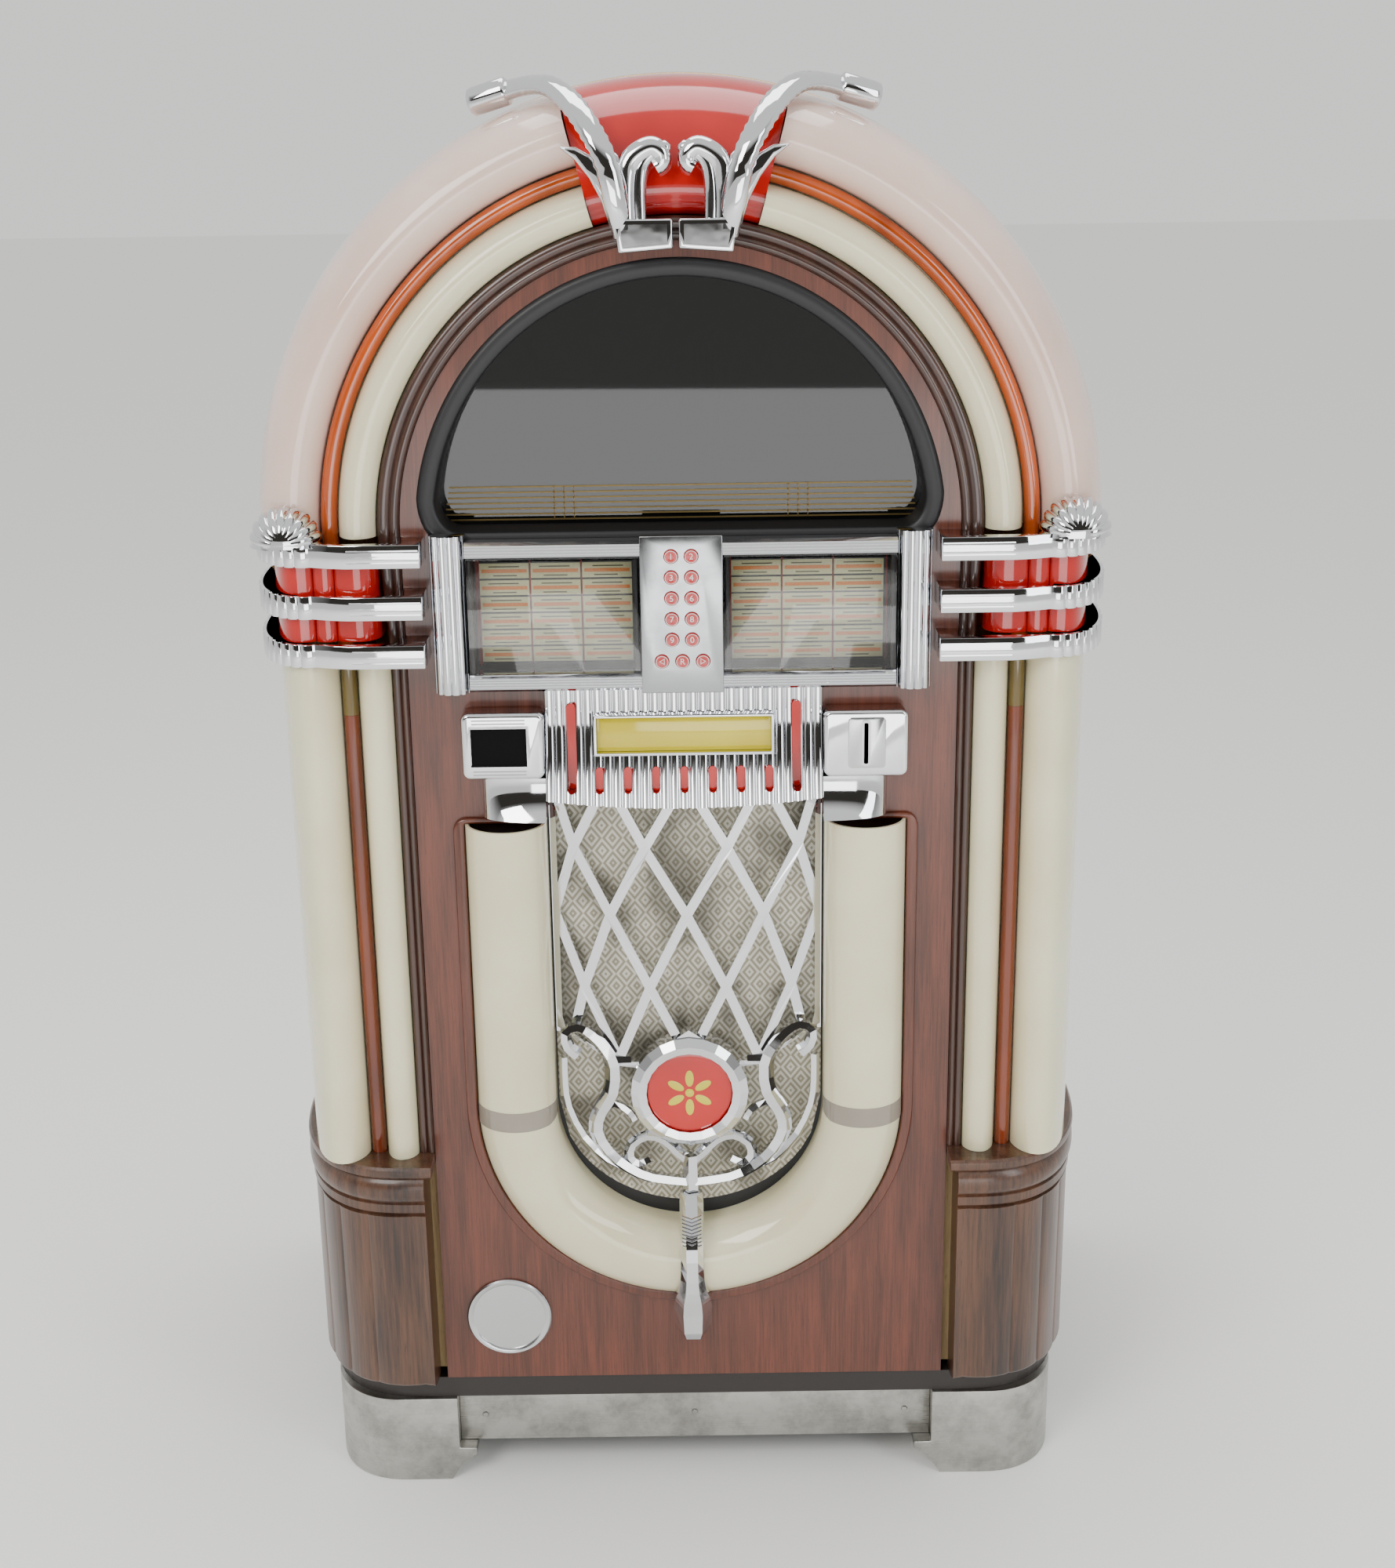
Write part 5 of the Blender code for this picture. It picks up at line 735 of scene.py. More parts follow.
def build_arch():
    """Column and arch plastics, the stained moulding, the liquid tubes and the amber edge."""
    top = CENTRE_FROM - degrees(GAP / MOULD_R)

    def side_arch(curve):
        return over_arch(shell(curve), ARCH_LOW + GAP, 0, top, left_leg=False)
    column = upright(shell(column_curve), BASE_TOP + GAP, COLUMN_TOP - GAP)
    both_sides(column, "column_plastic", CREAM, "column_plastic")
    both_sides(side_arch(inner_curve), "arch_inner_plastic", CREAM, "arch_inner_plastic")
    both_sides(side_arch(outer_curve), "arch_outer_plastic", PINK, "arch_outer_plastic")
    centre = over_arch(shell(centre_curve), 0, CENTRE_FROM, 180 - CENTRE_FROM, right_leg=False,
                       left_leg=False)
    keep(centre, "arch_center_plastic", RED, ["arch_center_plastic"])
    slim, wide = moulding_curve(TRIM_W), moulding_curve(MOULD_W)
    rings = [leg(slim, BASE_TOP + GAP), leg(slim, COLUMN_TOP), leg(wide, ARCH_LOW)]
    rings += [round_ring(wide, 180 * i / ARCH_STEPS) for i in range(ARCH_STEPS + 1)]
    rings += [leg(wide, ARCH_LOW, -1), leg(slim, COLUMN_TOP, -1), leg(slim, BASE_TOP + GAP, -1)]
    keep(through(rings), "arch_moulding", MOULDING, ["arch_moulding"])
    ring = arc(0, 0, TUBE_R, 0, 345, 23)
    low = [(COLUMN_TUBE_R + a, COLUMN_TUBE_D + b) for a, b in ring]
    high = [(ARCH_TUBE_R + a, ARCH_TUBE_D + b) for a, b in ring]
    both_sides(upright(low, BASE_TOP + GAP, HEAD_Z), "column_tube", DEEP_LIQUID,
               "bubble_tube")
    both_sides(upright(low, HEAD_Z + 0.0002, COLUMN_TOP), "column_tube_head", OLIVE)
    rings = [leg(low, COLUMN_TOP + GAP), leg(high, ARCH_LOW)]
    rings += [round_ring(high, top * i / 40) for i in range(41)]
    both_sides(through(rings), "arch_tube", ORANGE)
    edge = [(0.4283, 0.1503), (0.4310, 0.1507), (0.4333, 0.1526), (0.4341, 0.1552),
            (0.4333, 0.1578), (0.4310, 0.1597), (0.4283, 0.1601)]
    keep(over_arch(edge, BASE_TOP + 0.002), "amber_edge", AMBER)


# Cabinet, back and feet

def portal(r, low):
    """Outline of straight legs and the half circle over them."""
    return [(r, low)] + arc(0, ARCH_Z, r, 0, 180, ARCH_STEPS) + [(-r, low)]


def ring_wall(outer, inner, front, back):
    """A band between two matching outlines, from one depth to another."""
    rings = [[(x, deep(d), z) for x, z in outline]
             for outline, d in ((outer, front), (outer, back), (inner, back), (inner, front))]
    return through(rings + [rings[0]], cap=False)


def build_cabinet():
    """Arched outer wall of the cabinet, 20 mm thick."""
    low = 0.1323
    wall = ring_wall(portal(CABINET_R, low), portal(CABINET_R - 0.020, low), SHELL_D, BACK_D)
    keep(soften(wall, 0.0025, 3, 50), "cabinet_shell", MAHOGANY, ["cabinet_shell"], 40,
         body=CABINET)


def corner_plan(centre, reach, start, end, steps, power, ribs=0, rib_t=0.0):
    """Plan curve round a corner from the front to the side, with optional ribs of half round."""
    points = []
    for i in range(steps + 1):
        share = i / steps
        turn = radians(start + (end - start) * share)
        swing = rib_t * (1 - abs(sin(pi * ribs * share)) ** 0.6) if ribs else 0.0
        points.append((centre[0] + (reach[0] - swing) * sin(turn) ** (2 / power),
                       centre[1] - (reach[1] - swing) * cos(turn) ** (2 / power)))
    return points


def build_feet():
    """Steel clad front feet and the kick plate between them."""
    top = 0.107 - GAP
    corner = corner_plan((0.330, 0.090), (0.085, 0.092), 0, 90, 28, 2.2)
    plan = [(0.250, 0.130), (0.250, -0.002)] + corner + [(0.415, 0.130)]
    front = [(0.2695, top), (0.2695, 0.0415), (0.2495, 0.0415), (0.2495, 0.0328), (0.268, 0.0205),
             (0.280, 0.0), (0.425, 0.0), (0.425, top)]
    foot = carve(upright(plan, -0.01, top + 0.01), [slab(front, -0.012, 0.140)], "INTERSECT")
    soften(foot, 0.0012, 2, 40)
    twin = mirrored(copy_of(foot))
    keep(foot, "front_foot_right", STEEL, ["front_feet"], body=CABINET)
    keep(twin, "front_foot_left", STEEL, body=CABINET)
    plate = block(-0.2690, 0.2690, 0.014, 0.017, 0.0420, top - 0.0005, 0.0008, 2)
    screws = []
    for x in (-0.24, 0.0, 0.24):
        screws.append(turned([(0.0, 0.0122), (0.0028, 0.0126), (0.0036, 0.0136), (0.0038, 0.0142),
                              (0.0, 0.0142)], (x, 0.075), 20))
    keep(merge([plate] + screws), "kick_plate", STEEL, body=CABINET)


# Wooden panel, lip and window

U_Z = 0.472
U_TOP = 0.795
WINDOW_R = 0.2630
GRILLE_IN = 0.144
GRILLE_OUT = 0.229
GRILLE_MID = 0.1865
PROUD = 0.0003


def window_line(grow):
    """Outline of the window, grown or shrunk: the arch and two round lower corners."""
    r = WINDOW_R + grow
    bottom = 1.091 - grow * 0.0085 / 0.018
    first = 7.5
    points = arc(0, ARCH_Z, r, first, 180 - first, 88)
    x, z = points[0]
    corner = []
    for i in range(1, 9):
        turn = pi / 2 * i / 8
        corner.append((x - 0.022 * (1 - cos(turn)), z - (z - bottom) * sin(turn)))
    return points + [(-a, b) for a, b in corner] + corner[::-1]


def u_line(r, top):
    """Outline of the grille: straight sides and the half circle under them."""
    return [(r, top)] + arc(0, U_Z, r, 0, -180, 64) + [(-r, top)]


def build_panel():
    """Wooden front panel with its openings, and the raised lip round the grille."""
    board = slab(portal(SEAM_R - GAP, PANEL_LOW), 0, PANEL_T)
    hole = u_line(GRILLE_OUT + GAP, U_TOP + GAP)
    inner = GRILLE_IN - GAP
    hole += [(-inner, U_TOP + GAP), (-inner, 0.833), (inner, 0.833), (inner, U_TOP + GAP)]
    front, back = -0.01, 0.02
    cuts = [slab(hole, front, back), slab(window_line(GAP), front, back),
            block(-0.2125, 0.2125, front, back, 0.947, 1.083),
            block(0.180, 0.188, front, back, 0.859, 0.910)]
    carve(board, cuts)
    keep(board, "front_panel", MAHOGANY, ["front_panel"])
    lip_r, lip_top, corner = 0.241, 0.801, 0.014
    rim = arc(lip_r - corner, lip_top - corner, corner, 90, 0, 10)
    lip = rim + arc(0, U_Z, lip_r, 0, -180, 64) + [(-x, z) for x, z in rim[::-1]]
    plate = slab(lip, -0.006, 0.0002)
    carve(plate, [slab(hole, front, back)])
    soften(plate, 0.0022, 3, 60)
    keep(plate, "panel_lip", MAHOGANY)


def build_window():
    """Black frame, smoked pane and the gold lines printed behind it."""
    glass = -0.014
    lip = glass - 0.004
    section = [(0, 0.0465), (0, -GAP), (-0.002, -0.0028), (-0.005, -0.004), (-0.010, -0.0036),
               (-0.0150, -0.0026), (lip + 0.0012, -0.0014), (lip, 0.0004), (lip, 0.0422),
               (glass + GAP, 0.0422), (glass + GAP, 0.0465)]
    rings = [[(x, deep(d), z) for x, z in window_line(grow)] for grow, d in section]
    frame_piece = through(rings + [rings[0]], cap=False)
    keep(frame_piece, "window_frame", BLACK, ["window_frame"])
    pane = slab(window_line(glass - GAP), 0.0425, 0.0465)
    keep(pane, "window_glass", DARK_PANE, ["window_glass"])
    lines = []
    for z, half in ((1.104, 0.238), (1.1095, 0.238), (1.115, 0.237), (1.1205, 0.236),
                    (1.126, 0.235), (1.1315, 0.234), (1.137, 0.233)):
        lines.append(block(-half, half, 0.0418, 0.0424, z - 0.0008, z + 0.0008))
    for side in (-1, 1):
        for k in range(3):
            lines.append(block(side * 0.118 - 0.010 + 0.010 * k, side * 0.118 - 0.009 + 0.010 * k,
                               0.0418, 0.0424, 1.104, 1.137))
    keep(merge(lines), "window_gold_lines", GOLD)


def build_grille_tube():
    """Moulded tube round the grille, and the grey bands at its joints."""
    def curve(inset):
        start, end = GRILLE_IN + inset, GRILLE_OUT - inset
        return ([(start, 0.0197)] + lobe(start, end, 0.004, 0.004, (start + end) / 2, inset - 0.037,
                                         16) + [(end, 0.0197)])
    section = shell(curve)
    rings = [leg(section, U_TOP)] + [round_ring(section, -180 * i / 72, U_Z) for i in range(73)]
    rings.append(leg(section, U_TOP, -1))
    keep(through(rings), "grille_tube", CREAM, ["grille_tube"])
    proud = [(r + (PROUD if r > GRILLE_MID else -PROUD), d - 2 * PROUD)
             for r, d in lobe(GRILLE_IN, GRILLE_OUT, 0.004, 0.004, GRILLE_MID, -0.037, 16)]
    under = [(r, d + 0.0012) for r, d in proud[::-1]]
    band = upright(proud + under, 0.4575, 0.4795)
    both_sides(band, "joint_band", GREY_BAND)


def build_cloth():
    """Cloth stretched on the front of the speaker board behind the casting."""
    fresh()
    bpy.ops.mesh.primitive_grid_add(x_subdivisions=28, y_subdivisions=36, size=1,
                                    location=(0, 0, 0))
    cloth = bpy.context.object
    wide, low, high = 0.1425, 0.345, 0.8325
    for vertex in cloth.data.vertices:
        x, z = vertex.co.x * 2 * wide, low + (vertex.co.y + 0.5) * (high - low)
        drop = U_Z - sqrt(max(0.0, wide ** 2 - x ** 2)) * 0.89
        z = max(z, drop)
        vertex.co = (x, deep(0.0186), z)
    cloth.matrix_world = Matrix.Identity(4)
    edit_all(cloth)
    bpy.ops.mesh.remove_doubles(threshold=0.00002)
    bpy.ops.mesh.dissolve_degenerate(threshold=0.00001)
    bpy.ops.mesh.normals_make_consistent(inside=False)
    bpy.ops.object.mode_set(mode="OBJECT")
    if cloth.data.polygons[0].normal.y > 0:
        cloth.data.flip_normals()
    modify(cloth, "SOLIDIFY", thickness=0.0006, offset=-1)
    keep(cloth, "grille_cloth", CLOTH)


# Selector

def key_places():
    """Name, sign and place of each button."""
    places = []
    for i, digit in enumerate("1234567890"):
        row, column = divmod(i, 2)
        places.append((digit, digit, 0.010 * (2 * column - 1), 1.078 - 0.021 * row))
    return places + [("left", "◁", -0.0205, 0.972), ("reset", "R", 0.0, 0.972),
                     ("right", "▷", 0.0205, 0.972)]


def build_selector():
    """Fluted pillars, grooved boards, the keypad plate and its thirteen buttons."""
    middle, half, wide = 0.232, 0.018, 0.2138
    points = [(0.214, -GAP)]
    steps = 72
    for i in range(steps + 1):
        turn = pi * i / steps
        flute = 0.0035 * (1 - abs(sin(6 * turn)) ** 0.5)
        rise = max(0.028 * sin(turn) ** 0.5 - flute, 0.0035)
        points.append((middle - half * cos(turn), -rise))
    points.append((0.250, -GAP))
    pillar = upright(points, 0.939, 1.099)
    notch = block(0.20, 0.27, -0.0046, 0.01, 1.0904, 1.11)
    carve(pillar, [notch])
    both_sides(pillar, "selector_pillar", CHROME)
    boards = []
    for low, high in ((1.075, 1.093), (0.941, 0.958)):
        grooved = [(-GAP, low), (-0.022, low), (-0.026, low + 0.003)]
        for k in range(9):
            grooved.append((-0.026 + 0.0010 * (k % 2), low + 0.003 + (high - low - 0.006) * k / 8))
        grooved += [(-0.022, high), (-GAP, high)]
        boards.append(drawn([(-wide, deep(d), z) for d, z in grooved], (2 * wide, 0, 0)))
    keep(merge(boards), "selector_boards", CHROME, ["selector_frame"])
    plate = block(-0.041, 0.041, -0.030, -0.0245, 0.939, 1.0985, 0.0012, 3)
    for _, _, x, z in key_places():
        hole = turned([(0.0, -0.035), (0.0075, -0.035), (0.0075, -0.020), (0.0, -0.020)], (x, z),
                      32)
        carve(plate, [hole])
    keep(plate, "keypad_plate", RUBBED)
    for name, sign, x, z in key_places():
        face = -0.0335
        cap = turned([(0.0, 0.0004), (0.0038, 0.0003), (0.0052, 0.0), (0.0062, 0.0003),
                      (0.0069, 0.0011), (0.0070, 0.0020), (0.0070, 0.0092), (0.0084, 0.0094),
                      (0.0084, 0.0113), (0.0, 0.0113)], (x, z), 36, face)
        body = "button_" + name + "_key"
        keep(cap, "button_" + name, KEY_RED, ["button_" + name], body=body)
        ring = turned([(0.0056, 0.0001), (0.0060, -0.0001), (0.0063, 0.0003), (0.0060, 0.0005),
                       (0.0056, 0.0001)], (x, z), 36, face)
        figure = marks(sign, 0.0088 if len(name) == 1 or name == "reset" else 0.0070,
                       (x, face + 0.0001, z))
        keep(merge([ring, figure]), "button_mark_" + name, WHITE, body=body)


def build_titles():
    """Four faces of title strips on each half of the drum, and the shiny pane in front."""
    half = 0.0546
    pitch, width = 0.0517, 0.0497
    axis_y, axis_z = -0.199, 1.0155
    foot, top = axis_z - half, axis_z + half
    parts = {"strip": [], "bar": [], "spine": [], "ink": []}
    for side in (-1, 1):
        for column in range(3):
            x0 = side * 0.050 + side * pitch * column
            x1 = x0 + side * width
            lo, hi = min(x0, x1), max(x0, x1)
            for row in range(6):
                z = foot + 0.0030 + row * 0.0172
                parts["strip"].append(block(lo, hi, 0, 1, z, z + 0.0152))
                parts["bar"].append(block(lo + 0.002, hi - 0.002, 0, 1, z + 0.0056, z + 0.0092))
                for line, (share, up) in enumerate(((0.62, 0.0117), (0.48, 0.0026))):
                    reach = (hi - lo) * share / 2
                    centre = (lo + hi) / 2 + 0.001 * ((row + column + line) % 3 - 1)
                    parts["ink"].append(block(centre - reach, centre + reach, 0, 1, z + up - 0.0005,
                                              z + up + 0.0007))
            parts["spine"].append(block(lo - 0.0014, lo - 0.0002, 0, 1, foot, top))
        parts["spine"].append(block(side * 0.2062 - 0.0007, side * 0.2062 + 0.0007, 0, 1, foot,
                                    top))
    looks = {"strip": (STRIP, 0.0002), "bar": (STRIP_BAR, 0.0004), "ink": (INK, 0.0004),
             "spine": (SPINE, 0.0006)}
    out = Matrix.Translation((0, axis_y, axis_z))
    home = Matrix.Translation((0, -axis_y, -axis_z))
    for kind, blocks in parts.items():
        sheet_face = merge(blocks)
        finish, lift = looks[kind]
        for vertex in sheet_face.data.vertices:
            vertex.co.y = axis_y - (half + lift if vertex.co.y < deep(0.5) else half - 0.0004)
        faces = [sheet_face]
        for quarter in range(1, 4):
            twin = copy_of(sheet_face)
            turn = Matrix.Rotation(radians(90 * quarter), 4, "X")
            twin.data.transform(out @ turn @ home)
            faces.append(twin)
        keep(merge(faces), "title_" + kind, finish, body="title_drum")
    low, high, wide = 0.9583, 1.0747, 0.2137
    outline = [(-wide, low), (wide, low), (wide, high), (0.034, high), (0.034, low + 0.0045),
               (-0.034, low + 0.0045), (-0.034, high), (-wide, high)]
    pane = soften(slab(outline, -0.021, -0.018), 0.0004, 2, 60)
    keep(pane, "title_glass", PANE, ["title_glass"])
    bars = []
    for side in (-1, 1):
        for x in (0.0455, 0.2105):
            bars.append(block(side * x - 0.0022, side * x + 0.0022, -0.0175, -0.0005, 0.9585,
                              1.0745, 0.0006, 2))
    keep(merge(bars), "title_side_bars", BLACK)


# Header and housings

HEADER_TOP = 0.9405
HEADER_LOW = 0.822
HEADER_HALF = 0.141
FLUTES = 29
COIN_SLOT_X = (0.18175, 0.18625)
COIN_SLOT_Z = (0.863, 0.906)
MEDALLION_Z = 0.494
CAP_OUT = 0.208


def header_rise(z):
    """How far the header's face stands forward at a height."""
    share = max(0.0, (HEADER_TOP - z) / (HEADER_TOP - HEADER_LOW))
    return 0.016 + 0.029 * share ** 2.2


def header_slots():
    """Seven short slots and two long ones: x, width, low, high."""
    slots = [(0.0287 * i, 0.0085, 0.836, 0.862) for i in range(-3, 4)]
    return slots + [(side * 0.114, 0.010, 0.836, 0.927) for side in (-1, 1)]


def slot_line(slot, steps, inset=0.0):
    """Outline of a slot with round ends."""
    x, width, low, high = slot
    r = width / 2 - inset
    return (arc(x, high - inset - r, r, 0, 180, steps)
            + arc(x, low + inset + r, r, 180, 360, steps))


def build_header():
    """Fluted casting with slots, the sign in its rim and the red lenses behind the slots."""
    stations = FLUTES * 10
    rings = []
    for i in range(stations + 1):
        x = HEADER_HALF * (2 * i / stations - 1)
        low = HEADER_LOW + 0.008 * (x / HEADER_HALF) ** 2
        dip = 0.0028 * (1 - abs(sin(pi * FLUTES * i / stations)) ** 0.55)
        ring = [(x, deep(-GAP), HEADER_TOP), (x, deep(-GAP), low)]
        for k in range(13):
            z = low + (HEADER_TOP - low) * (k / 12) ** 1.3
            ring.append((x, deep(dip - header_rise(z)), z))
        rings.append(ring)
    casting = through(rings)
    room = block(-0.136, 0.136, -0.0082, 0.01, 0.833, 0.9355)
    front = -0.055
    cuts = [room, block(-0.090, 0.090, front, 0, 0.874, 0.914)]
    cuts += [slab(slot_line(slot, 10), front, 0) for slot in header_slots()]
    carve(casting, cuts)
    keep(casting, "header_casting", CHROME, ["header_casting"], 50)
    rim = ring_wall([(0.0915, 0.8725), (0.0915, 0.9155), (-0.0915, 0.9155), (-0.0915, 0.8725)],
                    [(0.0885, 0.8755), (0.0885, 0.9125), (-0.0885, 0.9125), (-0.0885, 0.8755)],
                    -0.0262, -0.0080)
    soften(rim, 0.0008, 2, 50)
    keep(rim, "sign_rim", CHROME)
    face = -0.0188
    sign = block(-0.0884, 0.0884, face, face + 0.004, 0.8756, 0.9124, 0.0008, 2)
    keep(sign, "sign_plate", YELLOW)
    lenses = []
    for slot in header_slots():
        front = 0.0032 - header_rise((slot[2] + slot[3]) / 2)
        lenses.append(slab(slot_line(slot, 8, GAP), front, -0.006))
    keep(merge(lenses), "header_lenses", RED, ["header_lens"])


def box_line(x0, x1, z0, z1, r):
    """Rectangle outline with round corners."""
    corners = ((x1 - r, z1 - r), (x0 + r, z1 - r), (x0 + r, z0 + r), (x1 - r, z0 + r))
    return [point for i, corner in enumerate(corners)
            for point in arc(*corner, r, 90 * i, 90 * i + 90, 8)]


def tube_cap(inner, low, top):
    """Flared cap over the end of the grille tube."""
    rings = []
    for i in range(15):
        share = i / 14
        z = low + (top - low) * share
        rise = 0.040 * (0.68 + 0.32 * (1 - share) ** 2.4)
        ring = [(inner, deep(-GAP), z)]
        for k in range(13):
            turn = pi / 2 * k / 12
            out = CAP_OUT - 0.018 * (1 - sin(turn) ** 0.8)
            ring.append((inner + (out - inner) * sin(turn) ** 0.9,
                         deep(-GAP - rise * cos(turn) ** 0.55), z))
        rings.append(ring[:1] + ring[1:][::-1])
    return through(rings)


def build_housings():
    """Price housing and its card, coin housing and its plate, each over a flared tube cap."""
    inner = HEADER_HALF + GAP
    face = -0.030
    price = soften(slab(box_line(inner, 0.225, 0.8502, 0.920, 0.008), face, -GAP), 0.0045, 5, 50)
    carve(price, [block(0.159, 0.216, -0.040, -0.026, 0.864, 0.904)])
    ribs = []
    for z in (0.8555, 0.8590, 0.9092, 0.9128):
        ribs.append(rod([(0.160, face + 0.0004, z), (0.214, face + 0.0004, z)], 0.0009))
    whole = merge([price] + ribs + [tube_cap(inner, 0.807, 0.8506)])
    keep(mirrored(whole), "price_housing", CHROME, ["price_housing"])
    card = block(-0.2157, -0.1593, -0.0268, -0.0262, 0.8643, 0.9037)
    keep(card, "price_card", CARD)
    coin = soften(slab(box_line(inner, 0.227, 0.8482, 0.918, 0.008), face, -GAP), 0.0040, 5, 50)
    carve(coin, [block(*COIN_SLOT_X, -0.045, 0.01, *COIN_SLOT_Z)])
    keep(merge([coin, tube_cap(inner, 0.805, 0.8486)]), "coin_housing", CHROME,
         ["coin_housing"])
    plate = soften(slab(box_line(0.166, 0.204, 0.858, 0.911, 0.004), face - 0.0016, face - 0.0001),
                   0.0006, 2, 50)
    carve(plate, [block(*COIN_SLOT_X, -0.045, 0.01, *COIN_SLOT_Z)])
    rim = ring_wall(box_line(0.1795, 0.1885, 0.8605, 0.9085, 0.003),
                    box_line(*COIN_SLOT_X, *COIN_SLOT_Z, 0.0015), face - 0.0030, face - 0.0014)
    keep(merge([plate, rim]), "coin_plate", SATIN)


def build_badge():
    """Bare satin disc with a raised rim on the panel, lower left."""
    disc = turned([(0.0, -0.0020), (0.040, -0.0022), (0.0425, -0.0040), (0.0455, -0.0042),
                   (0.0470, -0.0026), (0.0470, -0.0002), (0.0, -0.0002)], (-0.206, 0.212), 72)
    keep(disc, "badge_disc", SATIN)


def build_medallion():
    """Red disc and a plain rosette of petals in yellow."""
    face = -0.022
    disc = turned([(0.0, 0.0002), (0.040, 0.0004), (0.0448, 0.0014), (0.0460, 0.0030),
                   (0.0460, 0.0070), (0.0, 0.0070)], (0, MEDALLION_Z), 72, face)
    keep(disc, "medallion", RED, ["medallion"])
    petals = []
    for i in range(6):
        petal = turned([(0.0, -0.0001), (0.0040, 0.0001), (0.0062, 0.0009), (0.0, 0.0009)],
                       (0, MEDALLION_Z), 24, face)
        petal.data.transform(Matrix.Translation((0, 0, -MEDALLION_Z)))
        petal.data.transform(Matrix.Scale(2.1, 4, (0, 0, 1)))
        petal.data.transform(Matrix.Translation((0, 0, 0.0165)))
        petal.data.transform(Matrix.Translation((0, 0, MEDALLION_Z))
                             @ Matrix.Rotation(radians(60 * i), 4, "Y"))
        petals.append(petal)
    hub = turned([(0.0, -0.0008), (0.0040, -0.0004), (0.0055, 0.0008), (0.0, 0.0008)],
                 (0, MEDALLION_Z), 32, face)
    keep(merge(petals + [hub]), "medallion_petals", YELLOW)


def build_tail_ribs():
    """Rows of notches down the strap."""
    bars = []
    for i in range(9):
        z = 0.322 + 0.0045 * i
        bars.append(rod([(-0.0105, -0.0475, z + 0.003), (0.0, -0.0502, z),
                         (0.0105, -0.0475, z + 0.003)], 0.0010))
    keep(merge(bars), "tail_notches", CHROME)


def build_disc_stack():
    """Disc sleeves in the changer, plain coloured card."""
    for i, (code, dark) in enumerate((("#2E4F86", "#22406F"), ("#B5642C", "#96501F"),
                                      ("#5A3A72", "#472D5C"), ("#26262A", "#1B1B1E"),
                                      ("#A9BE9C", "#8FA582"), ("#8B2F35", "#702329"))):
        x = -0.165 + 0.066 * i
        front = 0.109 - 0.004 * (i % 3)
        card = block(x - 0.058, x + 0.058, front, front + 0.0015, 1.102, 1.152, 0.0006, 1)
        keep(card, "disc_sleeve_%d" % (i + 1),
             printed_card("disc_sleeve_card_%d" % (i + 1), code, dark))


def polar(r, angle, d):
    """A place over the arch by radius, angle from the top and depth, in shares."""
    turn = radians(angle)
    return (ARCH_OUT * r * sin(turn), deep(0.080 * d), ARCH_Z + ARCH_OUT * r * cos(turn))


def build_crowns():
    """Foot, scroll pillar, wing leaf and ribbed horn ending in a drum, mirrored on both sides."""
    foot = slab([(0.003, 1.3719), (0.0541, 1.368), (0.058, 1.399), (0.003, 1.399)], -0.036, -0.0126)
    soften(foot, 0.0018, 3, 40)
    panel = slab([(0.008, 1.3765), (0.0490, 1.3732), (0.0525, 1.3940), (0.008, 1.3940)], -0.0363,
                 -0.0345)
    carve(foot, [panel])
    heel = slab([(0.003, 1.3719), (0.0541, 1.368), (0.0541, 1.3932), (0.003, 1.3932)], -0.013,
                -0.0063)
    pillars = []
    for shift, size in ((0.0, 0.0115), (-0.0135, 0.0070)):
        spots = [(0.047 + shift, 1.389), (0.047 + shift, 1.431), (0.0412 + shift, 1.4515),
                 (0.0235 + shift, 1.463), (0.013 + shift * 0.2, 1.4580), (0.0125, 1.4490),
                 (0.018, 1.4450)]
        path = smooth_path([(x, deep(-0.0245), z) for x, z in spots], 7)
        sizes = [size * (1 - 0.35 * (i / (len(path) - 1)) ** 1.5) for i in range(len(path))]
        pillars.append(swept(path, sizes, [s * 0.9 for s in sizes], 20))
    shares = ((.675, 9.6, -.28), (.74, 9.8, -.42), (.83, 10.2, -.46), (.90, 11.6, -.36),
              (.965, 13.4, -.06), (1.010, 15.6, .36), (1.028, 18.0, .70), (1.036, 20.5, .93),
              (1.040, 22.6, 1.0))
    course = smooth_path([polar(*place) for place in shares], 7)
    count = len(course)
    width, height, drum_r, lean = 0.0125, 0.0085, 0.0138, (0.0, -0.6, 0.8)
    ribbed = [width * (1 - (0.10 if 12 < i < count - 14 and i % 2 else 0.0)) for i in range(count)]
    horn = swept(course, ribbed, [height * w / width for w in ribbed], 24, lean)
    hub = course[-1]
    along = (hub - course[-3]).normalized()
    stops = ((0.30, 0.55), (0.295, 0.80), (0.26, 0.96), (0.20, 1.0), (-0.50, 1.0), (-0.60, 0.96),
             (-0.64, 0.80), (-0.645, 0.5))
    girth = [drum_r * b for _, b in stops]
    drum = swept([hub - along * 0.044 * a for a, _ in stops], girth, girth, 32, lean)
    wing = slab([(0.0500, 1.3905), (0.0615, 1.3905), (0.0690, 1.4150), (0.0800, 1.4360),
                 (0.0935, 1.4530), (0.1090, 1.4650), (0.0920, 1.4640), (0.0770, 1.4560),
                 (0.0640, 1.4400), (0.0550, 1.4180)], -0.0315, -0.0206)
    soften(wing, 0.0030, 3, 30)
    both_sides(merge([foot, heel] + pillars + [horn, drum, wing]), "crown", CHROME,
               "crown", 45)


SHELL_X = 0.389
SHELL_Z = 1.096
SHELL_R = 0.036


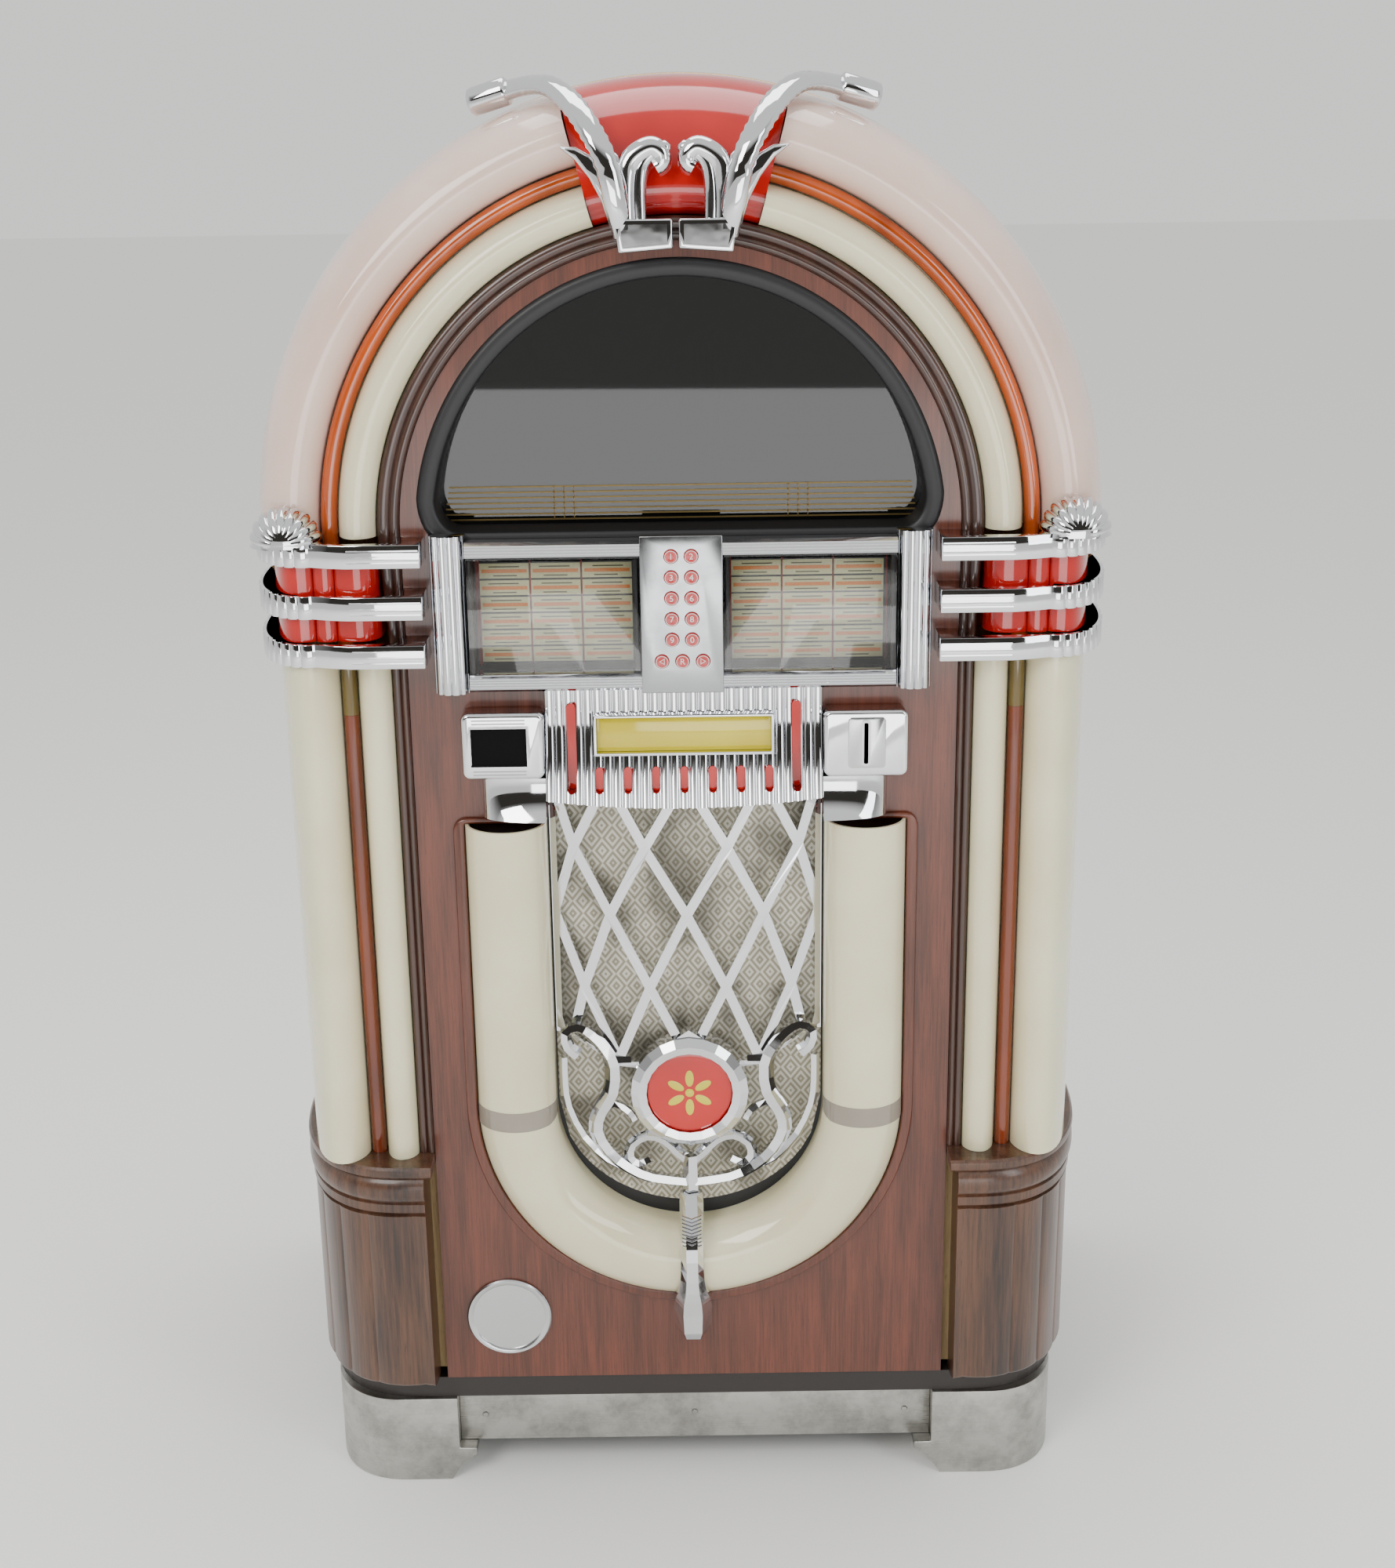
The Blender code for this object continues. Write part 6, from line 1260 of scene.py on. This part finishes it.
def build_bands():
    """Three wrapped bands, the scallop shell over them and the red collars between."""
    outer = corner_plan((0.365, 0.120), (0.0725, 0.157), 0, 90, 120, 2.4, 10, 0.0030)
    inner = corner_plan((0.365, 0.120), (0.0675, 0.152), 90, 0, 40, 2.4)
    plan = [(SEAM_R, -GAP), (0.255, -GAP), (0.255, -0.045), (0.328, -0.045),
            (0.3465, -0.041)] + outer
    plan += [(0.4375, 0.1545), (0.4325, 0.1545)] + inner + [(0.285, -0.032), (0.285, -0.0066),
                                                            (SEAM_R, -0.0066)]
    pieces = []
    height = 0.0235
    for top in (SHELL_Z, SHELL_Z - 0.052, SHELL_Z - 0.101):
        pieces.append(soften(upright(plan, top - height, top), 0.0010, 2, 60))
        for k in range(3):
            z = top - height * (k + 1) / 4
            pieces.append(block(0.2565, 0.3265, -0.0452, -0.0440, z - 0.0006, z + 0.0006))
    rings = []
    for d, size in ((-0.0128, 0.96), (-0.018, 1.0), (-0.028, 0.93), (-0.038, 0.76), (-0.044, 0.52),
                    (-0.046, 0.30)):
        ring = [(SHELL_X + SHELL_R * size, deep(d), 1.0925)]
        for i in range(91):
            turn = pi * i / 90
            r = SHELL_R * size * (0.90 + 0.10 * abs(sin(9 * turn)) ** 0.6)
            ring.append((SHELL_X + r * cos(turn), deep(d), SHELL_Z + r * sin(turn)))
        rings.append(ring + [(SHELL_X - SHELL_R * size, deep(d), 1.0925)])
    pieces.append(through(rings))
    both_sides(merge(pieces), "band_casting", CHROME, "band_casting", 40)

    def collar(inset):
        start, side = MOULD_R + GAP + inset, 0.4175 - inset
        dip, top = inset - 0.018, inset - 0.0255
        points = [(start, REAR)] + lobe(start, 0.344, inset, dip, (start + 0.344) / 2, top)
        points += lobe(0.344, 0.365, dip, dip, 0.3545, top)[1:]
        return points + lobe(0.365, side, dip, COLUMN_SIDE_D, 0.3815, top)[1:] + [(side, REAR)]
    both_sides(upright(shell(collar), 0.9953, 1.0722), "red_collar", RED, "red_collar")


def build_bases():
    """Fluted walnut blocks with a rounded foot, a bulge and a lip."""
    def plan(z, grow, flute, inner_x):
        reach = (0.1325 + grow, 0.203 + grow)
        points = [(inner_x, 0.0117), (inner_x, 0.165 - reach[1])]
        for i, (x, d) in enumerate(corner_plan((0.300, 0.165), reach, 0, 88, 100, 2.6)):
            share = i / 100
            dent = 0.003 * flute * (1 - abs(sin(pi * 5 * share)) ** 0.5)
            points.append((x - dent * share, min(d + dent * (1 - share), REAR - GAP)))
        points += [(points[-1][0], REAR), (TRIM_R, REAR), (TRIM_R, 0.0117)]
        return [(x, deep(d), z) for x, d in points]
    rings = []
    for k in range(9):
        share = k / 8
        rings.append(plan(0.1355 + 0.0145 * share, -0.030 * (1 - sin(pi / 2 * share)), 1.0, 0.288))
    for height, grow, flute in ((.76, 0, 1), (.778, 0, .6), (.783, -.9, 0), (.79, -.4, 0),
                                (.80, .3, 0), (.835, .3, 0), (.84, -.3, 0), (.855, .5, 0),
                                (.87, .9, 0), (.885, 1, 0), (.90, .95, 0), (.92, .6, 0),
                                (.935, .2, 0), (.945, -.4, 0), (.952, .3, 0), (.96, .8, 0),
                                (.975, 1, 0), (.99, .8, 0), (1, .2, 0)):
        rings.append(plan(0.15 + 0.268 * height, 0.004 * grow, flute,
                          SEAM_R + GAP if height > 0.95 else 0.288))
    both_sides(through(rings), "pilaster_base", WALNUT, "pilaster_base", 30)


CARRIED = {"back_panel": SKIRT, "cabinet_base": SKIRT, "lock_keeper": STEEL, "cd_deck": CARD,
           "cd_gripper_arm": GREY, "cd_magazine": BLACK, "door_frame": PLY, "door_lock": CHROME,
           "hinge_cabinet_leaf": STEEL, "hinge_door_leaf": STEEL, "speaker_baffle": BLACK,
           "woofer": BLACK, "title_housing": GREY, "title_drum": BLACK, "grille_casting": CHROME,
           "grille_tail": CHROME, }


def finish_carried():
    """Give each frame node that shows its real finish."""
    for name, finish in CARRIED.items():
        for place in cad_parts[name].material_slots:
            place.material = finish
        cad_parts[name].data.update()


set_studio()
build_arch()
build_cabinet()
build_feet()
build_panel()
build_window()
build_grille_tube()
build_cloth()
build_selector()
build_titles()
build_header()
build_housings()
build_crowns()
build_bands()
build_bases()
build_badge()
build_medallion()
build_tail_ribs()
build_disc_stack()
finish_carried()
fresh()
